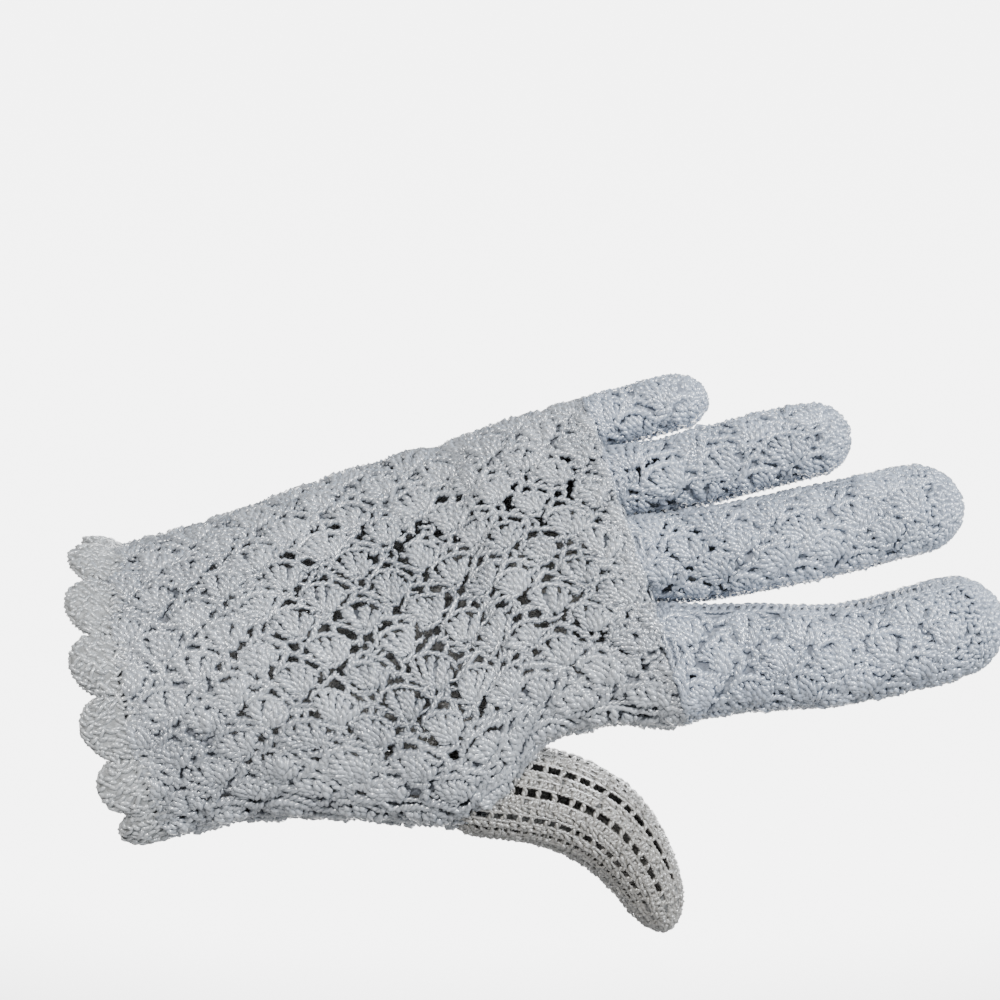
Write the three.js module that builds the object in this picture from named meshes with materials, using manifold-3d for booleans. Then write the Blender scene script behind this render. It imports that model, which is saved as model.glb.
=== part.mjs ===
// A crocheted lace glove for a left hand, with the form that it has when it is worn.
// Millimetres. +X runs to the fingertips, +Z to the little-finger side, and the back
// of the hand faces -Y. The origin is the centre of the wrist opening.

import * as THREE from "three";
import { mergeVertices } from "three/addons/utils/BufferGeometryUtils.js";
import Module from "manifold-3d";

const wasm = await Module();
wasm.setup();

// Driving sizes
const WALL = 2.0;
const CUFF_WALL = 2.8;
const GAP = 0.3;
const ROLL = 15;
const SEAM_LEAN = 16.7;

// Each cutter goes through the wall and stands out on both sides of it.
const CUTTER_DEPTH = 2.4 * WALL;

// Facets along and around each form
const HAND_STEPS = 11;
const BACK_FACETS = 12;
const PALM_FACETS = 16;
const FINGER_STEPS = 7;
const FINGER_FACETS = 16;
const TIP_STEPS = 4;
const HAND_FACETS = BACK_FACETS + PALM_FACETS;
const LENGTH_SAMPLES = 240;

// The seam between the lace back and the mesh palm, as angles round the hand: 0 is the
// little-finger side, 90 the middle of the back, 180 the thumb side, 270 the palm.
const BACK_FROM = 2;
const BACK_TO = 153;
const SEAM_ANGLE = 1.2;

// Scalloped edging of the cuff. It goes straight back from the wrist, in -X, and its
// scallops are puffed: they thin out by EDGE_THINNING towards their edge.
const SCALLOPS = 13;
const FACETS_PER_SCALLOP = 6;
const EDGING_BAND = 3.0;
const SCALLOP_REACH = 6.0;
const SCALLOP_FLARE = 2.0;
const SCALLOP_SHIFT = 0.6;
const EDGING_STEPS = 3;
const EDGE_THINNING = 0.5;

// Openings of the lace. The back has rows of shells that run from wrist to fingers, with
// each second row moved by half a repeat. A shell's largest opening lies beside its point,
// on the wrist side. Thumb and palm have rows of square holes.
const LACE_ROWS = 13;
const LACE_REPEATS = 8;
const FIRST_POINT_REPEAT = 0.6;
const FIRST_POINT_ROW = 0.26;
const HOLE_BEHIND_POINT = 0.286;
const HOLE_ABOVE_POINT = 0.35;
const LACE_HOLE_LONG = 3.2;
const LACE_HOLE_WIDE = 1.8;
const OPEN_ROWS = [2, 11];
const OPEN_STRETCH = [14, 105];
const MESH_HOLE = 2.0;
const MESH_PITCH = 3.4;
const THUMB_HOLE_ROWS = [
  { angle: 52, from: 32, to: 66, pitch: MESH_PITCH },
  { angle: 80, from: 26, to: 66, pitch: MESH_PITCH },
];
const PALM_HOLE_ROWS = [
  { angle: 240, from: 22, to: 60, pitch: 2 * MESH_PITCH },
  { angle: 262, from: 22, to: 92, pitch: 2 * MESH_PITCH },
  { angle: 284, from: 22, to: 92, pitch: 2 * MESH_PITCH },
];

const BACKWARDS = new THREE.Vector3(-1, 0, 0);

const SECTION_COLUMNS = [
  "x", "y", "z", "halfWidth", "halfThickness", "lean", "squareness", "fullness",
];

// Sections of the hand from the wrist opening to the seam where the fingers start.
// lean turns a section's plane, squareness 2 is an ellipse and 3 a rounded oblong, and
// fullness makes the thumb side thicker than the little-finger side.
const HAND_SECTIONS = table([
  [0.0, 0.0, 0.0, 33.3, 22.5, 13.0, 2.0, 0.0],
  [17.0, 0.0, 4.4, 34.0, 20.5, 10.5, 2.0, 0.05],
  [33.0, 0.0, 7.8, 36.4, 19.0, 9.5, 2.1, 0.15],
  [49.5, 1.0, 10.2, 40.3, 18.0, 9.5, 2.2, 0.25],
  [64.5, 1.5, 12.4, 42.8, 17.3, 10.0, 2.25, 0.3],
  [73.0, 1.5, 16.2, 40.8, 16.5, 10.5, 2.3, 0.3],
  [80.5, 1.0, 23.0, 36.8, 15.3, 11.5, 2.4, 0.25],
  [94.0, 0.5, 27.4, 36.6, 13.5, 13.5, 2.6, 0.2],
  [108.4, 0.0, 29.1, 38.8, 11.8, SEAM_LEAN, 3.0, 0.2],
]);

// Each finger's root lies on the seam, at a place across it from its middle.
const INDEX_SECTIONS = table([
  seamSection(-24.9, 13.9, 12.3),
  [123.0, -6.4, 6.6, 12.7, 11.6, 6.0, 2.6, 0.0],
  [136.0, -6.3, 7.5, 12.0, 11.0, 3.0, 2.4, 0.0],
  [149.5, -6.0, 7.7, 11.4, 10.5, 5.0, 2.3, 0.0],
  [158.5, -5.5, 8.9, 11.2, 10.0, 8.0, 2.2, 0.0],
  [174.0, -4.0, 12.5, 11.5, 9.8, 12.0, 2.2, 0.0],
  [190.8, -2.0, 17.0, 10.4, 9.0, 14.0, 2.1, 0.0],
]);
const MIDDLE_SECTIONS = table([
  seamSection(-0.9, 9.8, 11.8),
  [123.7, -1.0, 29.8, 10.4, 10.8, 9.0, 2.6, 0.0],
  [137.2, -0.6, 32.2, 10.7, 10.3, 9.0, 2.4, 0.0],
  [155.4, 0.3, 36.0, 10.7, 9.8, 11.0, 2.3, 0.0],
  [171.4, 1.5, 39.8, 10.3, 9.4, 11.0, 2.2, 0.0],
  [183.5, 2.5, 41.5, 9.1, 8.8, 8.0, 2.1, 0.0],
]);
const RING_SECTIONS = table([
  seamSection(17.5, 8.3, 10.6),
  [115.3, 4.7, 47.2, 8.5, 10.0, 10.0, 2.6, 0.0],
  [124.4, 5.0, 49.5, 8.8, 9.6, 13.0, 2.4, 0.0],
  [138.0, 5.2, 53.1, 9.0, 9.2, 14.0, 2.3, 0.0],
  [147.3, 5.6, 55.3, 8.9, 8.9, 12.0, 2.2, 0.0],
  [159.2, 6.6, 57.4, 8.0, 8.4, 8.0, 2.1, 0.0],
]);
const LITTLE_SECTIONS = table([
  seamSection(32.45, 6.35, 7.8),
  [106.5, 9.2, 61.2, 6.6, 7.8, 13.0, 2.6, 0.0],
  [113.4, 9.4, 63.2, 6.7, 7.6, 14.0, 2.3, 0.0],
  [119.2, 9.7, 64.6, 6.6, 7.3, 11.0, 2.2, 0.0],
  [127.2, 10.3, 65.7, 5.9, 6.8, 6.0, 2.1, 0.0],
]);

// The thumb starts inside the hand and leaves it on the palm side of its lower edge.
const THUMB_SECTIONS = table([
  [61.0, -6.0, -16.5, 6.5, 8.0, -2.0, 2.4, 0.0],
  [72.0, -4.0, -21.0, 10.6, 12.0, -6.0, 2.3, 0.0],
  [83.3, -1.0, -23.3, 11.0, 12.0, -13.0, 2.3, 0.0],
  [92.8, 2.0, -26.2, 11.0, 11.5, -22.0, 2.2, 0.0],
  [102.0, 5.0, -31.6, 10.6, 11.0, -37.0, 2.2, 0.0],
  [108.6, 7.0, -38.9, 9.4, 10.5, -52.0, 2.1, 0.0],
  [113.7, 9.0, -47.8, 7.6, 9.3, -63.0, 2.1, 0.0],
  [117.4, 10.0, -57.8, 5.0, 6.5, -72.0, 2.1, 0.0],
]);

// Length over which each closed tip rounds off
const FINGER_TABLE = [
  { name: "index_finger", sections: INDEX_SECTIONS, tip: 11 },
  { name: "middle_finger", sections: MIDDLE_SECTIONS, tip: 10 },
  { name: "ring_finger", sections: RING_SECTIONS, tip: 9 },
  { name: "little_finger", sections: LITTLE_SECTIONS, tip: 7.5 },
];
const THUMB_TIP = 9;

// Cotton yarn as it looks on each piece
const YARN = {
  lace: { color: 0xd5d8dc, roughness: 0.62, metalness: 0 },
  mesh: { color: 0xcdcdca, roughness: 0.68, metalness: 0 },
  edging: { color: 0xe2e0d8, roughness: 0.6, metalness: 0 },
};

function table(rows) {
  return rows.map((row) => Object.fromEntries(SECTION_COLUMNS.map((name, i) => [name, row[i]])));
}

function radians(degrees) {
  return THREE.MathUtils.degToRad(degrees);
}

// Directions of a section: across runs to the little-finger side, away runs from the
// back of the hand to the palm, and ahead is square to both.
function sectionAxes(lean) {
  const a = radians(lean);
  const r = radians(ROLL);
  return {
    across: new THREE.Vector3(-Math.sin(a) * Math.cos(r), Math.sin(r), Math.cos(a) * Math.cos(r)),
    away: new THREE.Vector3(Math.sin(a) * Math.sin(r), Math.cos(r), -Math.cos(a) * Math.sin(r)),
    ahead: new THREE.Vector3(Math.cos(a), 0, Math.sin(a)),
  };
}

// A root section in the seam plane, one gap past the hand's last section.
function seamSection(place, halfWidth, halfThickness) {
  const axes = sectionAxes(SEAM_LEAN);
  const seam = HAND_SECTIONS.at(-1);
  const centre = new THREE.Vector3(seam.x, seam.y, seam.z)
    .addScaledVector(axes.across, place)
    .addScaledVector(axes.ahead, GAP);
  return [centre.x, centre.y, centre.z, halfWidth, halfThickness, SEAM_LEAN, 3.0, 0.0];
}

// A form is a table of sections with the distance of each along the centre line.
function makeForm(sections, tip = 0) {
  const along = [0];
  for (let i = 1; i < sections.length; i++) {
    const a = sections[i - 1];
    const b = sections[i];
    along.push(along[i - 1] + Math.hypot(b.x - a.x, b.y - a.y, b.z - a.z));
  }
  return { sections, along, length: along.at(-1), tip };
}

// Value of one column at a distance along the form, on a smooth curve through the rows.
function columnAt(form, column, distance) {
  const { sections, along } = form;
  let i = 0;
  while (i < along.length - 2 && distance > along[i + 1]) {
    i += 1;
  }
  const slope = (k) => {
    const low = Math.max(k - 1, 0);
    const high = Math.min(k + 1, along.length - 1);
    return (sections[high][column] - sections[low][column]) / (along[high] - along[low]);
  };
  const span = along[i + 1] - along[i];
  const t = (distance - along[i]) / span;
  const a = sections[i][column];
  const b = sections[i + 1][column];
  return (2 * t ** 3 - 3 * t ** 2 + 1) * a + (t ** 3 - 2 * t ** 2 + t) * slope(i) * span
    + (3 * t ** 2 - 2 * t ** 3) * b + (t ** 3 - t ** 2) * slope(i + 1) * span;
}

// Point of the form at a distance along it and an angle round it. inset moves the
// surface inwards, and near a closed tip the section shrinks as a round end does.
function formPoint(form, distance, angle, inset = 0) {
  const row = {};
  for (const column of SECTION_COLUMNS) {
    row[column] = columnAt(form, column, distance);
  }
  const end = form.length - inset;
  const tip = form.tip - inset;
  const past = form.tip > 0 ? Math.max(0, distance - (end - tip)) / tip : 0;
  const shrink = Math.sqrt(Math.max(0, 1 - past ** 2));
  const c = Math.cos(radians(angle));
  const s = Math.sin(radians(angle));
  const width = Math.sign(c) * Math.abs(c) ** (2 / row.squareness);
  const depth = Math.sign(s) * Math.abs(s) ** (2 / row.squareness);
  const axes = sectionAxes(row.lean);
  return new THREE.Vector3(row.x, row.y, row.z)
    .addScaledVector(axes.across, (row.halfWidth - inset) * shrink * width)
    .addScaledVector(axes.away,
      -(row.halfThickness - inset) * shrink * depth * (1 - row.fullness * width));
}

// Distances of the rings of a form: even steps, then closer ones round a closed tip.
function ringDistances(form, steps, inset) {
  const end = form.length - inset;
  const tip = form.tip > 0 ? form.tip - inset : 0;
  const distances = [];
  for (let i = 0; i <= steps; i++) {
    distances.push((i / steps) * (end - tip));
  }
  for (let i = 1; i < TIP_STEPS && form.tip > 0; i++) {
    distances.push(end - tip + tip * Math.sin((i / TIP_STEPS) * (Math.PI / 2)));
  }
  return distances;
}

// Collects triangles of a closed body. Corners are given clockwise seen from outside,
// and are kept anticlockwise, so that each face points out.
class Body {
  constructor() {
    this.triangles = [];
  }

  triangle(a, b, c) {
    this.triangles.push(a, c, b);
  }

  quad(a, b, c, d) {
    this.triangle(a, b, c);
    this.triangle(a, c, d);
  }

  geometry() {
    const positions = new Float32Array(this.triangles.length * 3);
    this.triangles.forEach((point, i) => point.toArray(positions, i * 3));
    const geometry = new THREE.BufferGeometry();
    geometry.setAttribute("position", new THREE.BufferAttribute(positions, 3));
    return mergeVertices(geometry, 1e-4);
  }
}

// Skin between neighbouring rings, which are open or closed on themselves.
function addSkin(body, rings, closed, inward) {
  for (let i = 0; i + 1 < rings.length; i++) {
    const count = rings[i].length;
    for (let j = 0; j < (closed ? count : count - 1); j++) {
      const k = (j + 1) % count;
      const corners = [rings[i][j], rings[i + 1][j], rings[i + 1][k], rings[i][k]];
      if (inward) {
        corners.reverse();
      }
      body.quad(...corners);
    }
  }
}

function addTip(body, ring, pole, inward) {
  ring.forEach((point, j) => {
    const next = ring[(j + 1) % ring.length];
    if (inward) {
      body.triangle(pole, point, next);
    } else {
      body.triangle(point, pole, next);
    }
  });
}

function formRings(form, distances, angles, inset) {
  return distances.map((d) => angles.map((angle) => formPoint(form, d, angle, inset)));
}

function evenAngles(count) {
  return Array.from({ length: count }, (_, i) => (i * 360) / count);
}

// Tube with one closed tip and an open root, of the wall's thickness.
function closedShell(form) {
  const body = new Body();
  const angles = evenAngles(FINGER_FACETS);
  const outer = formRings(form, ringDistances(form, FINGER_STEPS, 0), angles, 0);
  const inner = formRings(form, ringDistances(form, FINGER_STEPS, WALL), angles, WALL);
  addSkin(body, outer, true, false);
  addSkin(body, inner, true, true);
  addSkin(body, [inner[0], outer[0]], true, false);
  addTip(body, outer.at(-1), formPoint(form, form.length, 0, 0), false);
  addTip(body, inner.at(-1), formPoint(form, form.length - WALL, 0, WALL), true);
  return body.geometry();
}

// Whole form without a hollow, grown or shrunk by an inset and flat at its open ends.
function solidForm(form, facets, steps, inset) {
  const body = new Body();
  const rings = formRings(form, ringDistances(form, steps, inset), evenAngles(facets), inset);
  const middle = (d) => new THREE.Vector3(
    columnAt(form, "x", d), columnAt(form, "y", d), columnAt(form, "z", d));
  addSkin(body, rings, true, false);
  addTip(body, rings[0], middle(0), true);
  const end = form.tip > 0 ? formPoint(form, form.length - inset, 0, inset) : middle(form.length);
  addTip(body, rings.at(-1), end, false);
  return body.geometry();
}

// Part of the hand's wall between two angles, as one closed sheet.
function handPanel(form, fromAngle, toAngle, facets) {
  const body = new Body();
  const distances = ringDistances(form, HAND_STEPS, 0);
  const angles = Array.from({ length: facets + 1 },
    (_, i) => fromAngle + ((toAngle - fromAngle) * i) / facets);
  const outer = formRings(form, distances, angles, 0);
  const inner = formRings(form, distances, angles, WALL);
  const last = outer.length - 1;
  addSkin(body, outer, false, false);
  addSkin(body, inner, false, true);
  addSkin(body, [inner[0], outer[0]], false, false);
  addSkin(body, [outer[last], inner[last]], false, false);
  for (let i = 0; i < last; i++) {
    body.quad(outer[i][0], inner[i][0], inner[i + 1][0], outer[i + 1][0]);
    body.quad(inner[i][facets], outer[i][facets], outer[i + 1][facets], inner[i + 1][facets]);
  }
  return body.geometry();
}

// Edging of round scallops that stand out from the wrist opening and flare a little.
function scallopEdging(form) {
  const body = new Body();
  const axes = sectionAxes(form.sections[0].lean);
  const count = SCALLOPS * FACETS_PER_SCALLOP;
  const side = (inset) => {
    const rings = [];
    for (let step = 0; step <= EDGING_STEPS; step++) {
      rings.push(Array.from({ length: count }, (_, j) => {
        const phase = (j % FACETS_PER_SCALLOP) / FACETS_PER_SCALLOP;
        const reach = EDGING_BAND + SCALLOP_REACH * Math.sqrt(Math.sin(phase * Math.PI));
        const t = step / EDGING_STEPS;
        const puff = 0.5 * CUFF_WALL * (1 - EDGE_THINNING * t ** 3);
        const flare = SCALLOP_FLARE * (t * reach) / (EDGING_BAND + SCALLOP_REACH);
        const share = (j / FACETS_PER_SCALLOP + SCALLOP_SHIFT) / SCALLOPS;
        const angle = angleAtShare(form, 0, 0, 360, share);
        return formPoint(form, 0, angle, 0.5 * CUFF_WALL - inset * puff - flare)
          .addScaledVector(axes.ahead, -GAP)
          .addScaledVector(BACKWARDS, t * reach);
      }));
    }
    return rings;
  };
  const outer = side(1);
  const inner = side(-1);
  addSkin(body, outer, true, true);
  addSkin(body, inner, true, false);
  addSkin(body, [inner[0], outer[0]], true, true);
  addSkin(body, [outer[EDGING_STEPS], inner[EDGING_STEPS]], true, true);
  return body.geometry();
}

// Angle on a section at a share of the way between two angles, measured by length.
function angleAtShare(form, distance, from, to, share) {
  const angleOf = (i) => from + ((to - from) * i) / LENGTH_SAMPLES;
  const lengths = [0];
  for (let i = 1; i <= LENGTH_SAMPLES; i++) {
    const step = formPoint(form, distance, angleOf(i))
      .distanceTo(formPoint(form, distance, angleOf(i - 1)));
    lengths.push(lengths[i - 1] + step);
  }
  const wanted = share * lengths[LENGTH_SAMPLES];
  const i = Math.max(1, lengths.findIndex((length) => length >= wanted));
  return angleOf(i - 1 + (wanted - lengths[i - 1]) / (lengths[i] - lengths[i - 1]));
}

// Small block that cuts one hole square through the wall at a place on a form.
function holeCutter(form, distance, angle, long, wide) {
  const nearby = 0.5;
  const point = formPoint(form, distance, angle, WALL / 2);
  const along = formPoint(form, distance + nearby, angle, WALL / 2).sub(point).normalize();
  const round = formPoint(form, distance, angle + nearby, WALL / 2).sub(point).normalize();
  const out = new THREE.Vector3().crossVectors(along, round).normalize();
  const side = new THREE.Vector3().crossVectors(out, along);
  const block = new THREE.BoxGeometry(long, wide, CUTTER_DEPTH);
  block.applyMatrix4(new THREE.Matrix4().makeBasis(along, side, out).setPosition(point));
  return block;
}

function toManifold(source) {
  const geometry = source.clone();
  geometry.deleteAttribute("normal");
  geometry.deleteAttribute("uv");
  const merged = mergeVertices(geometry, 1e-4);
  return new wasm.Manifold(new wasm.Mesh({
    numProp: 3,
    vertProperties: new Float32Array(merged.attributes.position.array),
    triVerts: new Uint32Array(merged.index.array),
  }));
}

function fromManifold(solid) {
  const mesh = solid.getMesh();
  const geometry = new THREE.BufferGeometry();
  geometry.setAttribute("position", new THREE.BufferAttribute(mesh.vertProperties, 3));
  geometry.setIndex(new THREE.BufferAttribute(mesh.triVerts, 1));
  return geometry;
}

// The body of a cut solid, without the slivers that a grazing cut can leave.
function largestBody(solid) {
  return solid.decompose().reduce((a, b) => (a.volume() > b.volume() ? a : b));
}

function cutHoles(geometry, cutters) {
  return cutters.reduce((solid, cutter) => solid.subtract(toManifold(cutter)), toManifold(geometry));
}

// Holes of the lace: the largest one of each shell, where the back is open.
function laceHoles(form) {
  const cutters = [];
  for (let row = OPEN_ROWS[0]; row <= OPEN_ROWS[1]; row++) {
    const share = (row + FIRST_POINT_ROW - HOLE_ABOVE_POINT) / LACE_ROWS;
    const first = FIRST_POINT_REPEAT - HOLE_BEHIND_POINT + (row % 2 === 0 ? 0.5 : 0);
    for (let repeat = 0; repeat < LACE_REPEATS; repeat++) {
      const distance = ((repeat + first) / LACE_REPEATS) * form.length;
      if (distance > OPEN_STRETCH[0] && distance < OPEN_STRETCH[1]) {
        const angle = angleAtShare(form, distance, BACK_FROM, BACK_TO, share);
        cutters.push(holeCutter(form, distance, angle, LACE_HOLE_LONG, LACE_HOLE_WIDE));
      }
    }
  }
  return cutters;
}

// Rows of square holes, each row a range along the form at one angle round it.
function meshHoles(form, rows) {
  return rows.flatMap(({ angle, from, to, pitch }) => {
    const count = Math.floor((to - from) / pitch);
    return Array.from({ length: count + 1 },
      (_, i) => holeCutter(form, from + i * pitch, angle, MESH_HOLE, MESH_HOLE));
  });
}

function piece(name, geometry, finish) {
  const faceted = geometry.index ? geometry.toNonIndexed() : geometry;
  faceted.computeVertexNormals();
  const mesh = new THREE.Mesh(faceted, new THREE.MeshStandardMaterial({ ...finish, flatShading: true }));
  mesh.name = name;
  return mesh;
}

const hand = makeForm(HAND_SECTIONS);
const thumb = makeForm(THUMB_SECTIONS, THUMB_TIP);

const glove = new THREE.Group();

// Where the thumb leaves the hand, each keeps clear of the other by one gap.
const thumbSpace = toManifold(solidForm(thumb, FINGER_FACETS, FINGER_STEPS, -GAP));
const handHollow = toManifold(solidForm(hand, HAND_FACETS, HAND_STEPS, WALL));

const back = cutHoles(handPanel(hand, BACK_FROM, BACK_TO, BACK_FACETS), laceHoles(hand))
  .subtract(thumbSpace);
const palm = cutHoles(
  handPanel(hand, BACK_TO + SEAM_ANGLE, BACK_FROM + 360 - SEAM_ANGLE, PALM_FACETS),
  meshHoles(hand, PALM_HOLE_ROWS),
).subtract(thumbSpace);
const thumbWall = cutHoles(closedShell(thumb), meshHoles(thumb, THUMB_HOLE_ROWS)).subtract(handHollow);

glove.add(piece("back_panel", fromManifold(largestBody(back)), YARN.lace));
glove.add(piece("palm_panel", fromManifold(largestBody(palm)), YARN.mesh));
glove.add(piece("thumb", fromManifold(largestBody(thumbWall)), YARN.mesh));
glove.add(piece("cuff_edging", scallopEdging(hand), YARN.edging));
for (const { name, sections, tip } of FINGER_TABLE) {
  glove.add(piece(name, closedShell(makeForm(sections, tip)), YARN.lace));
}

export default glove;
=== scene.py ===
"""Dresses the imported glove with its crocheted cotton: lace shells, mesh, plain rows and scallops.

The yarn is laid on the same forms that the solids have. Sizes are in millimetres until a
mesh is made, and +X runs to the fingertips, +Z to the little-finger side, -Y out of the back.
"""

import logging
from collections.abc import Callable
from dataclasses import dataclass, field
from enum import Enum

import bpy
import numpy as np
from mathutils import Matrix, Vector


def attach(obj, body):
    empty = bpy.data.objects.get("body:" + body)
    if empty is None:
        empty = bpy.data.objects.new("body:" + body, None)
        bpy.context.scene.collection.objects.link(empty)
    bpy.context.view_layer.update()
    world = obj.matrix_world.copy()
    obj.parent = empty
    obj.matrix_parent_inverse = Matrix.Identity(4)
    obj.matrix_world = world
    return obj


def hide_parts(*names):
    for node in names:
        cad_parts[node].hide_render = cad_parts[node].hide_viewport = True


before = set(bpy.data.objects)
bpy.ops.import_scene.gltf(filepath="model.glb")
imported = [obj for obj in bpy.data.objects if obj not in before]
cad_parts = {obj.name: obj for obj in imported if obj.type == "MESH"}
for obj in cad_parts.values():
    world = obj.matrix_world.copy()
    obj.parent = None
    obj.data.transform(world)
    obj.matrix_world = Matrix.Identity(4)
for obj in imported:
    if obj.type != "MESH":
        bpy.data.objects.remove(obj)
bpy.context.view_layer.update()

logging.basicConfig(level=logging.INFO, format="%(message)s")
log = logging.getLogger("glove")

Array = np.ndarray

# Gives points and normals of a surface for two coordinates and a height above it.
Place = Callable[[Array, Array, Array], tuple[Array, Array]]

MM = 0.001
SEED = 7

# The hand rolls about its own length, and its seam with the fingers leans, both in degrees.
ROLL = 15.0
SEAM_LEAN = 16.7

# Solids stand this far apart, and the middle of their cloth lies this deep.
GAP = 0.3
CLOTH_DEPTH = 1.0

# Angles round the hand where the back starts and ends, and where the palm's rows start and end.
BACK_FROM = 2.0
BACK_TO = 153.0
EDGE_TO = 196.0
PALM_TO = 360.8

# Painted shade: strands are this much lighter on the side that faces out than on the other.
PAINTED_UNDERSIDE_SHADE = 0.34

# Length of plain cloth at a closed tip, and size of its last ring against the one before.
TIP_ZONE = 12.0
POLE = 0.02


class Slot(Enum):
    """Material slots of the record."""

    LACE = "lace_cotton"
    MESH = "mesh_cotton"
    EDGING = "edging_cotton"


# Sections of the hand, thumb and fingers. Columns: x, y, z, half width, half thickness,
# lean of the plane, squareness, fullness of the thumb side.
HAND_SECTIONS = (
    (0.0, 0.0, 0.0, 33.3, 22.5, 13.0, 2.0, 0.0),
    (17.0, 0.0, 4.4, 34.0, 20.5, 10.5, 2.0, 0.05),
    (33.0, 0.0, 7.8, 36.4, 19.0, 9.5, 2.1, 0.15),
    (49.5, 1.0, 10.2, 40.3, 18.0, 9.5, 2.2, 0.25),
    (64.5, 1.5, 12.4, 42.8, 17.3, 10.0, 2.25, 0.3),
    (73.0, 1.5, 16.2, 40.8, 16.5, 10.5, 2.3, 0.3),
    (80.5, 1.0, 23.0, 36.8, 15.3, 11.5, 2.4, 0.25),
    (94.0, 0.5, 27.4, 36.6, 13.5, 13.5, 2.6, 0.2),
    (108.4, 0.0, 29.1, 38.8, 11.8, SEAM_LEAN, 3.0, 0.2),
)
THUMB_SECTIONS = (
    (61.0, -6.0, -16.5, 6.5, 8.0, -2.0, 2.4, 0.0),
    (72.0, -4.0, -21.0, 10.6, 12.0, -6.0, 2.3, 0.0),
    (83.3, -1.0, -23.3, 11.0, 12.0, -13.0, 2.3, 0.0),
    (92.8, 2.0, -26.2, 11.0, 11.5, -22.0, 2.2, 0.0),
    (102.0, 5.0, -31.6, 10.6, 11.0, -37.0, 2.2, 0.0),
    (108.6, 7.0, -38.9, 9.4, 10.5, -52.0, 2.1, 0.0),
    (113.7, 9.0, -47.8, 7.6, 9.3, -63.0, 2.1, 0.0),
    (117.4, 10.0, -57.8, 5.0, 6.5, -72.0, 2.1, 0.0),
)
INDEX_SECTIONS = (
    (123.0, -6.4, 6.6, 12.7, 11.6, 6.0, 2.6, 0.0),
    (136.0, -6.3, 7.5, 12.0, 11.0, 3.0, 2.4, 0.0),
    (149.5, -6.0, 7.7, 11.4, 10.5, 5.0, 2.3, 0.0),
    (158.5, -5.5, 8.9, 11.2, 10.0, 8.0, 2.2, 0.0),
    (174.0, -4.0, 12.5, 11.5, 9.8, 12.0, 2.2, 0.0),
    (190.8, -2.0, 17.0, 10.4, 9.0, 14.0, 2.1, 0.0),
)
MIDDLE_SECTIONS = (
    (123.7, -1.0, 29.8, 10.4, 10.8, 9.0, 2.6, 0.0),
    (137.2, -0.6, 32.2, 10.7, 10.3, 9.0, 2.4, 0.0),
    (155.4, 0.3, 36.0, 10.7, 9.8, 11.0, 2.3, 0.0),
    (171.4, 1.5, 39.8, 10.3, 9.4, 11.0, 2.2, 0.0),
    (183.5, 2.5, 41.5, 9.1, 8.8, 8.0, 2.1, 0.0),
)
RING_SECTIONS = (
    (115.3, 4.7, 47.2, 8.5, 10.0, 10.0, 2.6, 0.0),
    (124.4, 5.0, 49.5, 8.8, 9.6, 13.0, 2.4, 0.0),
    (138.0, 5.2, 53.1, 9.0, 9.2, 14.0, 2.3, 0.0),
    (147.3, 5.6, 55.3, 8.9, 8.9, 12.0, 2.2, 0.0),
    (159.2, 6.6, 57.4, 8.0, 8.4, 8.0, 2.1, 0.0),
)
LITTLE_SECTIONS = (
    (106.5, 9.2, 61.2, 6.6, 7.8, 13.0, 2.6, 0.0),
    (113.4, 9.4, 63.2, 6.7, 7.6, 14.0, 2.3, 0.0),
    (119.2, 9.7, 64.6, 6.6, 7.3, 11.0, 2.2, 0.0),
    (127.2, 10.3, 65.7, 5.9, 6.8, 6.0, 2.1, 0.0),
)


def section_axes(lean: Array) -> tuple[Array, Array, Array]:
    """Directions of sections that lean by an angle and roll with the hand.

    Args:
        lean: Lean of each section in degrees.

    Returns:
        Across to the little-finger side, away from the back, and ahead to the fingertips.
    """
    a = np.radians(lean)
    r = np.radians(ROLL)
    zero = np.zeros_like(a)
    across = np.stack([-np.sin(a) * np.cos(r), zero + np.sin(r), np.cos(a) * np.cos(r)], -1)
    away = np.stack([np.sin(a) * np.sin(r), zero + np.cos(r), -np.cos(a) * np.sin(r)], -1)
    ahead = np.stack([np.cos(a), zero, np.sin(a)], -1)
    return across, away, ahead


def cubic(t: Array, values: Array, slopes: Array, i: Array, span: Array | float = 1.0) -> Array:
    """A cubic between each value and the next that has a given slope at both.

    Args:
        t: Share of the way from one value to the next.
        values: Values, one a row.
        slopes: Slopes at them.
        i: Row of the first value of each pair.
        span: Distance between the two.

    Returns:
        The value at each share.
    """
    start = (2 * t**3 - 3 * t**2 + 1) * values[i] + (t**3 - 2 * t**2 + t) * span * slopes[i]
    end = (3 * t**2 - 2 * t**3) * values[i + 1] + (t**3 - t**2) * span * slopes[i + 1]
    return start + end


def lengths_along(lines: Array) -> Array:
    """Length of each line up to each of its points: the steps between them, added up.

    Args:
        lines: Points, shaped lines by points by 3.

    Returns:
        Lengths, shaped lines by points.
    """
    steps = np.linalg.norm(np.diff(lines, axis=1), axis=2)
    return np.cumsum(np.pad(steps, ((0, 0), (1, 0))), axis=1)


def seam_section(place: float, half_width: float, half_thickness: float) -> tuple[float, ...]:
    """A finger's root section, which lies in the seam plane one gap past the hand.

    Args:
        place: How far from the seam's middle it lies, to the little-finger side.
        half_width: Half the root's width.
        half_thickness: Half the root's thickness.

    Returns:
        The section's eight columns.
    """
    across, _, ahead = section_axes(np.array(SEAM_LEAN))
    centre = np.array(HAND_SECTIONS[-1][:3]) + place * across + GAP * ahead
    return (*centre.tolist(), half_width, half_thickness, SEAM_LEAN, 3.0, 0.0)


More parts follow.
